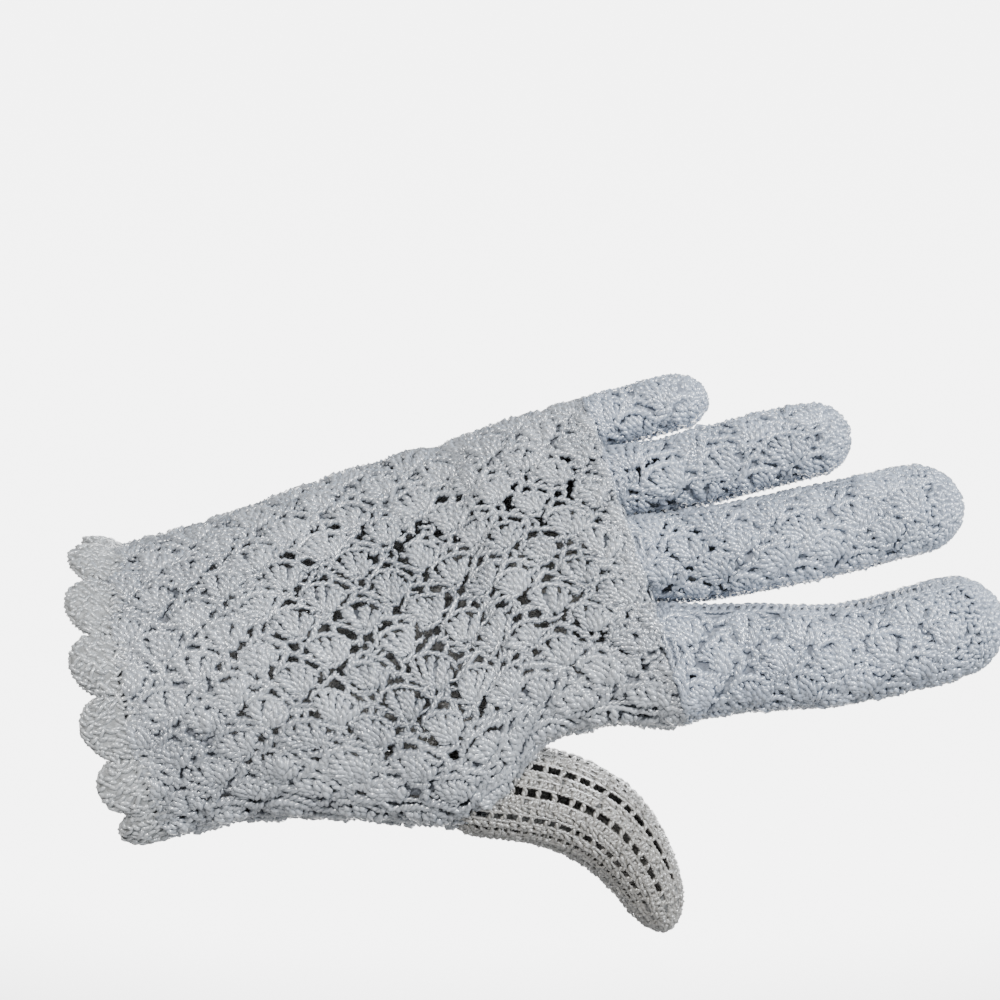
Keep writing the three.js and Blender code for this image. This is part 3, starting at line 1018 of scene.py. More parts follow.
@dataclass
class LaceCloth:
    """Shell lace on a chart: rows run along it, and each second row moves by half a repeat.

    Attributes:
        chart: Where the lace lies.
        rows: Number of rows across the chart.
        repeats: Number of repeats along it.
        first_repeat: Place of the first shell's point, in repeats.
        first_row: Place of the first row of points, in rows.
        rng: Source of the stitches' small differences.
        plain_end: Length at the chart's end that gets no lace.
        keep_out: Form in which no strand is laid.
        open_along: Lengths between which the cloth is stretched and its holes are open.
        open_share: Shares of the way round between which it is stretched.
        slimness: Size of the strands where the cloth is stretched.
        fullness: Size of the strands elsewhere.
        relief: Share of the motif's heights.
        fillers: Short strands between the fans for each repeat.
        filler_reach: Length of such a strand.
        filler_across: Where its middle may lie along the row, in millimetres past a shell's point.
        filler_up: Where it may lie towards the next row.
        filler_share: Share of them that is left where the cloth is stretched.
        edges: Widths of the bands in which the stretch starts, along and as a share round.
        clearance: How far inside the other form a strand may reach.
        painted_rise_shade: Painted shade: how much lighter a strand is for each millimetre that it rises,
            so that low strands look shaded.
        usual_rise: Height at which its tone stays as it is.
        motif: The repeat.
        wander: Spread of the shells' differences.
    """

    chart: Chart
    rows: float
    repeats: float
    first_repeat: float
    first_row: float
    rng: np.random.Generator
    plain_end: float = 0.0
    keep_out: Form | None = None
    open_along: tuple[float, float] = (0.0, 0.0)
    open_share: tuple[float, float] = (0.0, 0.0)
    slimness: float = 1.22
    fullness: float = 1.5
    relief: float = 1.0
    fillers: int = 4
    filler_reach: float = 3.0
    filler_across: tuple[float, float] = (-4.0, 7.5)
    filler_up: tuple[float, float] = (4.5, 10.5)
    filler_share: float = 0.42
    edges: tuple[float, float] = (14.0, 0.12)
    clearance: float = 1.5
    painted_rise_shade: float = 0.25
    usual_rise: float = 0.6
    motif: ShellMotif = ShellMotif()
    wander: Wander = Wander()

    def _cells(self) -> tuple[Array, Array]:
        """Every shell's point, with a ring of cells past the borders.

        Returns:
            Its place along in repeats, and its place across in rows.
        """
        rows, repeats = (np.arange(-1, int(count) + 2) for count in (self.rows, self.repeats))
        row, column = np.meshgrid(rows, repeats, indexing="ij")
        moved = column + self.first_repeat + np.where(row % 2 == 0, 0.5, 0.0)
        return moved.ravel(), (row + self.first_row).ravel().astype(float)

    def crochet(self, yarn: Yarn, chains: Yarn, ground: Ground) -> None:
        """Lays all shells: each cell turns and grows a little, and its strands wander.

        Args:
            yarn: Takes the fans' posts.
            chains: Takes the other strands.
            ground: Takes the slab behind each fan.
        """
        repeat, row = self._cells()
        cells = len(repeat)
        turn = self.rng.normal(0, self.wander.turn, cells)[:, None]
        grow = 1 + self.rng.normal(0, self.wander.growth, cells)[:, None]
        move = self.rng.normal(0, self.wander.move, (2, cells, 1))
        light = self.rng.normal(0, self.wander.light, (cells, 1))
        for index, stitch in enumerate(self.motif.stitches()):
            line = smooth_line(np.array(stitch.corners), stitch.count)
            wave = np.sin(np.pi * np.linspace(0, 1, stitch.count))
            ends = np.linspace(0, 1, stitch.count) * self.rng.normal(0, self.wander.ends, (2, cells, 1))
            bow = wave * self.rng.normal(0, self.wander.bow, (2, cells, 1))
            x = line[:, 0] + ends[0] + bow[0]
            z = line[:, 1] - self.motif.middle + ends[1] + bow[1]
            across = grow * (x * np.cos(turn) - z * np.sin(turn)) + move[0]
            up = grow * (x * np.sin(turn) + z * np.cos(turn)) + self.motif.middle + move[1]
            along, share = self._spot(repeat[:, None], row[:, None], across, up)
            height = self.relief * (line[:, 2] + wave * self.rng.normal(0, self.wander.lift, (cells, 1)))
            middle = stitch.count // 2
            keep = self._on_chart(along, share) & self._clear(along[:, middle], share[:, middle])
            points, normals = self.chart.place(along[keep], share[keep], height[keep])
            tone = stitch.tone + light[keep] + self.rng.normal(0, self.wander.shade, (len(points), 1))
            # Painted shade: strands that lie low come out darker, those that rise lighter.
            tone = tone + self.painted_rise_shade * (height[keep] - self.usual_rise)
            size = self._size(along[keep].mean(axis=1), share[keep].mean(axis=1))
            if index < len(self.motif.rim):
                target, size = yarn, np.sqrt(size)
            else:
                target = chains
            girth = 1 + self.rng.normal(0, self.wander.girth, len(points))
            target.twist(points, normals, stitch.ply, tone, self.rng.random(len(points)), size, girth)
        self._lay_fillers(chains, repeat, row)
        self._lay_ground(ground, repeat, row)

    def _spot(self, repeat: Array, row: Array, across: Array, up: Array) -> tuple[Array, Array]:
        """Places on the chart: repeats and rows plus millimetres of the motif, both scaled to it.

        Args:
            repeat: Place of the shell's point in repeats.
            row: Its place in rows.
            across: Millimetres past it along the row.
            up: Millimetres past it towards the fan's rim.

        Returns:
            Lengths along the chart, and shares of the way round.
        """
        along = (repeat + across / self.motif.repeat) * self.chart.length / self.repeats
        return along, (row - up / self.motif.pitch) / self.rows

    def _clear(self, along: Array, share: Array) -> Array:
        """Picks the places that lie outside the other form.

        Args:
            along: Lengths along the chart.
            share: Shares of the way round.

        Returns:
            True for each place that may get a strand.
        """
        if self.keep_out is None:
            return np.ones(along.shape, bool)
        there, _ = self.chart.place(along, share, np.array(0.0))
        return ~form_holds(self.keep_out, there, self.clearance)

    def _lay_fillers(self, yarn: Yarn, repeat: Array, row: Array) -> None:
        """Short strands between the fans, of any direction: fewer where the cloth is stretched.

        Args:
            yarn: Takes the strands.
            repeat: Place of each shell's point in repeats.
            row: Its place in rows.
        """
        shape = (len(repeat) * self.fillers, 1)
        t = np.linspace(-0.5, 0.5, 4)
        turn = self.rng.uniform(0, np.pi, shape)
        across = self.rng.uniform(*self.filler_across, shape) + self.filler_reach * np.cos(turn) * t
        up = self.rng.uniform(*self.filler_up, shape) + self.filler_reach * np.sin(turn) * t
        repeat, row = (np.repeat(value, self.fillers)[:, None] for value in (repeat, row))
        along, share = self._spot(repeat, row, across, up)
        size = self._size(along[:, 1], share[:, 1])
        loose = size > 0.5 * (self.slimness + self.fullness)
        keep = loose | (self.rng.random(len(size)) < self.filler_share)
        keep &= self._on_chart(along, share) & self._clear(along[:, 1], share[:, 1])
        points, normals = self.chart.place(along[keep], share[keep], 0.1 + 0.5 * np.cos(np.pi * t))
        size = np.where(loose, 1.0, self.slimness / self.fullness)[keep]
        yarn.twist(points, normals, SINGLE_PLY, self.rng.normal(0.68, 0.08, len(points)), size=size)

    def _size(self, along: Array, share: Array) -> Array:
        """Size of strands: the slimness in the stretched middle, growing smoothly to the fullness.

        Args:
            along: Length of each strand's middle.
            share: Its share of the way round.

        Returns:
            Size of each strand.
        """
        inside = np.ones_like(along)
        places = ((along, self.open_along), (share, self.open_share))
        for (value, (low, high)), soft in zip(places, self.edges):
            for depth in (value - low, high - value):
                t = np.clip(0.5 + depth / soft, 0, 1)
                inside = inside * t * t * (3 - 2 * t)
        return self.fullness + (self.slimness - self.fullness) * inside

    def _on_chart(self, along: Array, share: Array) -> Array:
        """Picks the strands that lie on the cloth for nearly half of their points or more."""
        inside = (along > 0) & (along < self.chart.length - self.plain_end) & (share > 0) & (share < 1)
        return inside.mean(axis=1) > 0.45

    def _lay_ground(self, ground: Ground, repeat: Array, row: Array) -> None:
        """A low slab behind each fan: straight blends between its point and its rim.

        Args:
            ground: Takes the slabs.
            repeat: Place of each shell's point in repeats.
            row: Its place in rows.
        """
        out = np.linspace(0.12, 0.88, 5)[:, None, None]
        rim = smooth_line(np.array([(x, z, 0.0) for x, z in self.motif.rim]), 8)[None, :, :2]
        flat = (rim * out)[None]
        along, share = self._spot(repeat[:, None, None], row[:, None, None], flat[..., 0], flat[..., 1])
        keep = self._on_chart(along.reshape(len(along), -1), share.reshape(len(share), -1))
        dome = 0.45 * self.relief * np.sin(np.pi * np.linspace(0.1, 0.9, 5))[:, None]
        ground.lay_sheet(self.chart.place, along[keep], share[keep], dome, dome - 0.5)


@dataclass
class ShortStitches:
    """Plain cloth of short stitches, round after round, each of which leans its own way.

    Attributes:
        chart: Where the cloth lies.
        along: Lengths where it starts and ends.
        share: Shares of the way round where it starts and ends.
        pitch: Distance from round to round.
        step: Distance from stitch to stitch.
        reach: Length of a stitch.
        radius: Radius of a stitch's strand.
        tone: Lightness of the stitches.
        lean: Angle in radians by which rounds lean to one side and the next to the other.
    """

    chart: Chart
    along: tuple[float, float]
    share: tuple[float, float]
    pitch: float = 1.25
    step: float = 1.15
    reach: float = 1.8
    radius: float = 0.58
    tone: float = 0.74
    lean: float = 0.7

    def crochet(self, yarn: Yarn, rng: np.random.Generator) -> None:
        """Lays one round at a time, with as many stitches as its own width takes.

        Args:
            yarn: Takes the stitches.
            rng: Source of their small differences.
        """
        t = np.linspace(-0.5, 0.5, 4)
        span = self.share[1] - self.share[0]
        for number, place in enumerate(np.arange(*self.along, self.pitch)):
            ring, _ = self.chart.place(np.array(place), np.linspace(*self.share, 60), np.array(0.0))
            width = max(float(np.linalg.norm(np.diff(ring, axis=0), axis=1).sum()), 1.0)
            count = max(4, round(width / self.step))
            turn = (self.lean if number % 2 else -self.lean) + rng.normal(0, 0.6, (count, 1))
            middle = (np.arange(count) + 0.5 * (number % 2))[:, None] + rng.normal(0, 0.22, (count, 1))
            share = self.share[0] + span * (middle / count + self.reach * np.sin(turn) * t / width)
            along = place + rng.normal(0, 0.25, (count, 1)) + self.reach * np.cos(turn) * t
            height = 0.15 + (0.3 + rng.normal(0, 0.1, (count, 1))) * np.cos(np.pi * t)
            points, normals = self.chart.place(along, share, height)
            radius = self.radius * (1 + rng.normal(0, 0.12, count))
            yarn.lay(points, normals, radius, self.tone + rng.normal(0, 0.1, count), 0.7)


class RowKind(Enum):
    """Rows of cloth: the distance from post to post, and the width against a solid row."""

    SOLID = (1.8, 1.0)
    OPEN = (3.4, 1.4)
    SLIT = (2.4, 1.0)


@dataclass
class RowCloth:
    """Double-crochet rows on a chart: leaning posts between chains that run along it.

    Attributes:
        chart: Where the rows lie.
        kinds: One kind for each row, from share 0 to share 1.
        rng: Source of the stitches' small differences.
        tone: Lightness of the posts.
        paired: Whether each post is two strands or one fat one.
        fat: Radius of such a fat one.
        lean: How far the posts of a solid row lean, and the share of that in the other kinds.
        chain_piece: Length of one piece of a chain.
        ground_cell: Length of a ground face.
        keep_out: Form in which no strand is laid.
        clearance: How far inside that form a strand may reach.
    """

    chart: Chart
    kinds: tuple[RowKind, ...]
    rng: np.random.Generator
    tone: float = 0.6
    paired: bool = True
    fat: float = 0.74
    lean: tuple[float, float] = (1.3, 0.3)
    chain_piece: float = 9.0
    ground_cell: float = 2.0
    keep_out: Form | None = None
    clearance: float = 0.0

    def borders(self) -> Array:
        """Shares where the rows meet."""
        widths = np.array([kind.value[1] for kind in self.kinds])
        return np.concatenate([[0.0], np.cumsum(widths)]) / widths.sum()

    def crochet(self, yarn: Yarn, ground: Ground) -> None:
        """Lays posts, chains and the ground of the solid rows.

        Args:
            yarn: Takes the strands.
            ground: Takes the slabs.
        """
        borders = self.borders()
        for index, kind in enumerate(self.kinds):
            row = (borders[index], borders[index + 1])
            self._lay_posts(yarn, kind, row, 1 if index % 2 else -1)
            if kind is RowKind.SOLID:
                self._lay_ground(ground, row)
        self._lay_chains(yarn, borders)

    def _lay_posts(self, yarn: Yarn, kind: RowKind, row: tuple[float, float], side: int) -> None:
        """Posts at even steps, which lean to one side in one row and to the other in the next.

        Args:
            yarn: Takes the posts.
            kind: Kind of the row.
            row: Shares between which it lies.
            side: Side to which the posts lean, 1 or -1.
        """
        starts = np.arange(0.4, self.chart.length - 0.3, kind.value[0])[:, None]
        starts = starts + self.rng.normal(0, 0.35 if kind is RowKind.OPEN else 0.2, starts.shape)
        t = np.linspace(0, 1, 6 if self.paired else 5)
        lean = side * self.lean[0] * (1.0 if kind is RowKind.SOLID else self.lean[1])
        lean = lean + self.rng.normal(0, 0.35, starts.shape)
        along = starts + lean * (t - 0.5) + self.rng.normal(0, 0.2, starts.shape) * np.sin(np.pi * t)
        share = row[0] + (row[1] - row[0]) * t
        height = (0.3 + self.rng.normal(0, 0.12, starts.shape)) * np.sin(np.pi * t)
        points, normals = self._outside(*self.chart.place(along, share, height))
        tone = self.tone + self.rng.normal(0, 0.08, len(points))
        if self.paired:
            size = 1.0 if kind is RowKind.SOLID else 0.82
            yarn.twist(points, normals, POST_PLY, tone, self.rng.random(len(points)), size)
        else:
            yarn.lay(points, normals, self.fat, tone, 0.8)

    def _lay_chains(self, yarn: Yarn, borders: Array) -> None:
        """Chains along the borders, in short pieces so that one can end at another form.

        Args:
            yarn: Takes the chains.
            borders: Shares where the rows meet.
        """
        pieces = max(1, round(self.chart.length / self.chain_piece))
        ends = np.linspace(0, self.chart.length, pieces + 1)
        t = np.linspace(-0.02, 1.02, 11)
        along = ends[:-1, None] + (ends[1:] - ends[:-1])[:, None] * t
        wander = self.rng.normal(0, 0.002, (len(borders), 1, 1))
        share = borders[:, None, None] + wander + np.zeros_like(along)
        points, normals = self.chart.place(along + np.zeros_like(share), share, np.array(0.35))
        points, normals = self._outside(*(grid.reshape(-1, len(t), 3) for grid in (points, normals)))
        yarn.twist(points, normals, CHAIN_PLY, self.tone + self.rng.normal(0, 0.06, len(points)))

    def _outside(self, points: Array, normals: Array) -> tuple[Array, Array]:
        """Leaves out the strands whose middle lies inside the other form.

        Args:
            points: Points of each strand.
            normals: Cloth normals at those points.

        Returns:
            Points and normals of the strands that are left.
        """
        if self.keep_out is None:
            return points, normals
        keep = ~form_holds(self.keep_out, points[:, points.shape[1] // 2], self.clearance)
        return points[keep], normals[keep]

    def _lay_ground(self, ground: Ground, row: tuple[float, float]) -> None:
        """A slab along the whole row, a little narrower than it.

        Args:
            ground: Takes the slab.
            row: Shares between which the row lies.
        """
        faces = max(8, round(self.chart.length / self.ground_cell))
        along = np.linspace(0, self.chart.length, faces)[:, None]
        edge = 0.03 * (row[1] - row[0])
        share = np.linspace(row[0] + edge, row[1] - edge, 3)[None]
        arch = np.array([0.0, 0.25, 0.0])
        ground.lay_sheet(self.chart.place, along, share, arch, arch - 0.5)


def form_holds(form: Form, points: Array, depth: float) -> Array:
    """Tells which points lie inside a form: the nearest section's superellipse sum is under 1.

    Args:
        form: The form.
        points: Points, one a row.
        depth: How far inside the surface a point has to be.

    Returns:
        True for each point inside.
    """
    distance = np.linspace(0, form.length, 120)
    columns = form.columns(distance)
    across, away, ahead = section_axes(columns[:, 5])
    offset = points[:, None] - columns[None, :, :3]
    beyond = np.abs(np.einsum("psk,sk->ps", offset, ahead))
    nearest = beyond.argmin(axis=1)
    row = np.arange(len(points))
    offset, columns = offset[row, nearest], columns[nearest]
    a = np.einsum("pk,pk->p", offset, across[nearest]) / (columns[:, 3] - depth)
    side = np.clip(a, -1, 1)
    b = np.einsum("pk,pk->p", offset, -away[nearest])
    b = b / ((columns[:, 4] - depth) * (1 - columns[:, 7] * side))
    inside = np.abs(a) ** columns[:, 6] + np.abs(b) ** columns[:, 6] < 1
    return inside & (beyond[row, nearest] < 2.0)


@dataclass
class Dressing:
    """What every sub-assembly shares: its finishes and the node that its pieces stand for.

    Attributes:
        node: CAD node that the pieces replace.
        slot: Material slot of the record; not used.
        yarn_finish: Finish of the strands.
        ground_finish: Finish of the slabs behind them.
    """

    node: str
    slot: Slot
    yarn_finish: YarnFinish
    ground_finish: GroundFinish

    def dress(self, ground: Ground, ground_word: str = "ground", **yarns: Yarn) -> list[bpy.types.Object]:
        """Makes the pieces, gives them their materials and lets them ride on the glove.

        Args:
            ground: The slabs.
            ground_word: Last word of their piece's name.
            yarns: The strands, each batch under the last word of its piece's name.

        Returns:
            The pieces.
        """
        pieces = [yarn.piece(f"{self.node}_{word}") for word, yarn in yarns.items()]
        for piece in pieces:
            piece.data.materials.append(shared_material(self.yarn_finish))
        pieces.append(ground.piece(f"{self.node}_{ground_word}"))
        pieces[-1].data.materials.append(shared_material(self.ground_finish))
        for piece in pieces:
            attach(piece, "root")
            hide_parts(self.node)
            log.info("%s: %d faces", piece.name, len(piece.data.polygons))
        return pieces


def shared_material(finish: YarnFinish | GroundFinish) -> bpy.types.Material:
    """The finish's material, made at its first use."""
    found = bpy.data.materials.get(finish.name)
    return found if found else finish.material()


@dataclass
class HandBack(Dressing):
    """The back of the hand: thirteen rows of shells between two seams, open at the wrist.

    Attributes:
        rows: Rows of shells across the back.
        repeats: Shells in a row.
        wrist_border: Lengths between which plain rounds cross the wrist's end.
        knuckle_border: Length of plain rounds at the fingers.
        dense_wrist: Length at the wrist where the cloth is dense all the way across.
        dense_sides: Shares outside which it is dense further on.
    """

    rows: int = 13
    repeats: int = 8
    wrist_border: tuple[float, float] = (1.2, 4.5)
    knuckle_border: float = 4.2
    dense_wrist: float = 20.0
    dense_sides: tuple[float, float] = (0.2, 0.9)

    def build(self) -> list[bpy.types.Object]:
        """Crochets the lace, its borders and seams, and the webs between the fingers.

        Returns:
            The pieces.
        """
        rng = np.random.default_rng(SEED)
        chart = Chart(HAND, 0.0, BACK_FROM, BACK_TO)
        yarn, chains, ground = Yarn(), Yarn(4), Ground()
        lace = LaceCloth(chart, self.rows, self.repeats, first_repeat=0.6, first_row=0.26, rng=rng,
                         relief=0.7, slimness=1.06, open_along=(33.0, 106.0), open_share=(0.3, 0.82))
        lace.crochet(yarn, chains, ground)
        self._lay_seams(chart, chains)
        knuckles = chart.length - self.knuckle_border
        ShortStitches(chart, self.wrist_border, (0.0, 1.0)).crochet(chains, rng)
        ShortStitches(chart, (knuckles, chart.length), (0.0, 1.0)).crochet(chains, rng)
        low, high = self.dense_sides
        ground.lay_patch(chart, (0.0, self.dense_wrist), (0.01, 0.99), -0.2)
        for sides in ((0.01, low), (high, 0.99)):
            ground.lay_patch(chart, (self.dense_wrist, chart.length), sides, -0.2)
        ground.lay_patch(chart, (knuckles - 0.8, chart.length), (low, high))
        self._lay_webs(chains, ground)
        return self.dress(ground, fans=yarn, chains=chains)

    def _lay_webs(self, yarn: Yarn, ground: Ground) -> None:
        """Closes the corners between the fingers' roots by strands from one outline to the next.

        Args:
            yarn: Takes the strands.
            ground: Takes the slabs behind them.
        """
        turn = np.linspace(44.0, 156.0, 36)
        zero = np.zeros_like(turn)

        def outline(form: Form, side: int, distance: float = 0.0) -> Array:
            """Half of a form's outline, on its thumb side for 1 and its other side for -1."""
            return form.point(zero + distance, 90.0 + side * turn, CLOTH_DEPTH)

        outlines = [
            (outline(one, -1), outline(other, 1))
            for one, other in ((INDEX, MIDDLE), (MIDDLE, RING), (RING, LITTLE))
        ]
        outlines += [
            (outline(HAND, side, HAND.length), outline(finger, side))
            for finger, side in ((INDEX, 1), (LITTLE, -1))
        ]
        _, _, ahead = section_axes(np.array(SEAM_LEAN))
        t = np.linspace(0, 1, 5)[:, None]
        for near, far in outlines:
            flat = near[:, None] * (1 - t) + far[:, None] * t
            flat += 0.2 * np.sin(np.pi * t) * (flat.mean(axis=(0, 1)) - flat)
            ground.lay((flat + 0.2 * ahead)[None], (flat - 0.3 * ahead)[None])
            rise = 0.3 + 0.4 * np.sin(np.pi * t)
            yarn.lay(flat + rise * ahead, ahead + np.zeros_like(flat), 0.45, np.full(len(turn), 0.55))

    def _lay_seams(self, chart: Chart, yarn: Yarn) -> None:
        """A fat chain along each side of the back, where the palm joins it.

        Args:
            chart: The back.
            yarn: Takes the chains.
        """
        along = np.linspace(0, chart.length, 120)[None]
        for share in (0.0, 1.0):
            points, normals = chart.place(along, np.array(share), np.array(0.3))
            yarn.twist(points, normals, SEAM_PLY, np.array([0.65]))


@dataclass
class PalmEdge(Dressing):
    """The palm's strip on the thumb side, where the back's lace comes round.

    Attributes:
        repeats: Shells in a row.
        past_back: Angle between the back's edge and the strip.
        thumb_from: Length where the thumb's root starts.
        thumb_to: Distance from the fingers where it ends.
        thumb_share: Share of the strip's width that passes the thumb.
        border: Length of plain rounds at the fingers.
    """

    repeats: int = 8
    past_back: float = 1.2
    thumb_from: float = 58.0
    thumb_to: float = 14.0
    thumb_share: float = 0.35
    border: float = 4.2

    def build(self) -> list[bpy.types.Object]:
        """Crochets the lace of the strip, clear of the space that the thumb takes.

        Returns:
            The pieces.
        """
        rng = np.random.default_rng(SEED + 8)
        chart = Chart(HAND, 0.0, BACK_TO + self.past_back, EDGE_TO)
        end = chart.length
        yarn, ground = Yarn(), Ground()
        lace = LaceCloth(chart, chart.width / ShellMotif().pitch, self.repeats, first_repeat=0.1,
                         first_row=0.26, rng=rng, keep_out=THUMB)
        lace.crochet(yarn, yarn, ground)
        ground.lay_patch(chart, (0.0, self.thumb_from), (0.0, 1.0))
        ground.lay_patch(chart, (self.thumb_from, end), (0.0, self.thumb_share))
        ground.lay_patch(chart, (end - self.thumb_to, end), (self.thumb_share, 1.0))
        ShortStitches(chart, (end - self.border, end), (0.0, 1.0)).crochet(yarn, rng)
        return self.dress(ground, "edge_ground", edge=yarn)


@dataclass
class HandPalm(Dressing):
    """The palm: double-crochet rows from its lace strip to the other seam.

    Attributes:
        row_width: Width of a row.
        clearance: How far inside the thumb a strand may reach.
    """

    row_width: float = 3.3
    clearance: float = 1.5

    def build(self) -> list[bpy.types.Object]:
        """Crochets the rows, clear of the space that the thumb takes.

        Returns:
            The pieces.
        """
        rng = np.random.default_rng(SEED + 1)
        yarn, ground = Yarn(4), Ground()
        chart = Chart(HAND, 0.0, EDGE_TO, PALM_TO)
        kinds = (RowKind.SOLID,) * round(chart.width / self.row_width)
        rows = RowCloth(chart, kinds, rng, tone=0.65, paired=False, keep_out=THUMB,
                        clearance=self.clearance)
        rows.crochet(yarn, ground)
        return self.dress(ground, yarn=yarn)


@dataclass
class Thumb(Dressing):
    """The thumb: rows of square holes along it between solid rows.

    Attributes:
        start: Distance along the form where its cloth starts.
        near: Angles between which its rows have holes.
        row_width: Width of a plain row on the rest.
        clearance: How far inside the hand a strand may reach.
        tip: Length of short stitches at the tip.
    """

    start: float = 4.0
    near: tuple[float, float] = (36.0, 228.0)
    row_width: float = 3.3
    clearance: float = 2.2
    tip: float = 5.0

    def build(self) -> list[bpy.types.Object]:
        """Crochets the rows round the thumb, clear of the hollow hand.

        Returns:
            The pieces.
        """
        rng = np.random.default_rng(SEED + 2)
        yarn, ground = Yarn(4), Ground()
        solid, hole, slit = RowKind.SOLID, RowKind.OPEN, RowKind.SLIT
        first, last = self.near
        kinds = (solid, solid, hole) * 3 + (solid, slit) * 5 + (solid,)
        clear = {"keep_out": HAND, "clearance": self.clearance}
        near = RowCloth(Chart(THUMB, self.start, first, last), kinds, rng, tone=0.7, **clear)
        near.crochet(yarn, ground)
        rest = Chart(THUMB, self.start, last, first + 360.0)
        kinds = (solid,) * round(rest.width / self.row_width)
        plain = RowCloth(rest, kinds, rng, tone=0.7, paired=False, **clear)
        plain.crochet(yarn, ground)
        close_tip(Chart(THUMB, self.start, first, first + 360.0), yarn, ground, rng, self.tip)
        return self.dress(ground, yarn=yarn)


@dataclass
class Finger(Dressing):
    """A finger: shell lace on its back and plain rows round the rest, gathered at the tip.

    Attributes:
        form: Form of the finger.
        lace: Angles between which its back has lace.
        rows: Rows of lace between them.
        repeats: Repeats of the lace along the finger.
        first: Places of the first shell's point, in repeats and in rows.
        plain_end: Length of plain cloth at the tip.
        open_part: Share of the length, from the root, where the lace is stretched.
        seed: Added to the seed of the glove.
        row_width: Width of a plain row.
    """

    form: Form
    lace: tuple[float, float]
    rows: float
    repeats: float
    first: tuple[float, float]
    plain_end: float
    open_part: float
    seed: int
    row_width: float = 3.1

    def build(self) -> list[bpy.types.Object]:
        """Crochets the lace and the plain rows.

        Returns:
            The pieces.
        """
        rng = np.random.default_rng(SEED + self.seed)
        yarn, rows, ground = Yarn(), Yarn(4), Ground()
        lace = Chart(self.form, 0.0, *self.lace)
        opened = self.open_part * lace.length
        cloth = LaceCloth(lace, self.rows, self.repeats, *self.first, rng, self.plain_end - 2.0,
                          open_along=(-20.0, opened), open_share=(0.2, 1.1),
                          slimness=1.3, fullness=1.4, relief=0.6)
        cloth.crochet(yarn, yarn, ground)
        plain = Chart(self.form, 0.0, self.lace[1], self.lace[0] + 360)
        kinds = (RowKind.SOLID,) * max(3, round(plain.width / self.row_width))
        RowCloth(plain, kinds, rng, tone=0.7, paired=False).crochet(rows, ground)
        whole = Chart(self.form, 0.0, -90.0, 270.0)
        self._join_root(whole, rows, ground)
        ground.lay_patch(plain, (3.0, opened), (0.0, 1.0), -0.15)
        ground.lay_patch(whole, (opened, whole.length - TIP_ZONE + 0.5), (0.0, 1.0), -0.15)
        close_tip(whole, rows, ground, rng, self.plain_end)
        return self.dress(ground, lace=yarn, rows=rows)

    def _join_root(self, chart: Chart, yarn: Yarn, ground: Ground) -> None:
        """Rounds of chain over the seam with the hand, and the ground under them.

        Args:
            chart: The whole finger.
            yarn: Takes the chains.
            ground: Takes the slab.
        """
        share = np.linspace(0, 1, 61)[None]
        for along, height in ((-0.1, 0.5), (1.6, 0.45)):
            points, normals = chart.place(np.array(along), share, np.array(height))
            yarn.twist(points, normals, ROOT_PLY, np.array([0.62]))
        along = np.linspace(0.0, 3.0, 4)[:, None]
        ground.lay_sheet(chart.place, along, share[:, ::2], 0.1, -0.4)


def close_tip(chart: Chart, yarn: Yarn, ground: Ground, rng: np.random.Generator,
              zone: float = TIP_ZONE) -> None:
    """Plain cloth over a closed tip and a cap of ground under it.

    Args:
        chart: A chart of the whole form.
        yarn: Takes the stitches.
        ground: Takes the cap.
        rng: Source of the stitches' small differences.
        zone: Length that the plain cloth covers.
    """
    along = (chart.length - zone, chart.length - 0.4)
    ShortStitches(chart, along, (0.0, 1.0), radius=0.62, tone=0.9).crochet(yarn, rng)
    along = chart.length - np.linspace(TIP_ZONE, 0.0, 12)[:, None]
    slab = []
    for height in (0.45, -0.3):
        rows, _ = chart.place(along, np.linspace(0, 1, 25)[None], np.array(height))
        pole = rows[-1].mean(axis=0)
        slab.append(np.concatenate([rows, (pole + POLE * (rows[-1] - pole))[None]])[None])
    ground.lay(*slab)


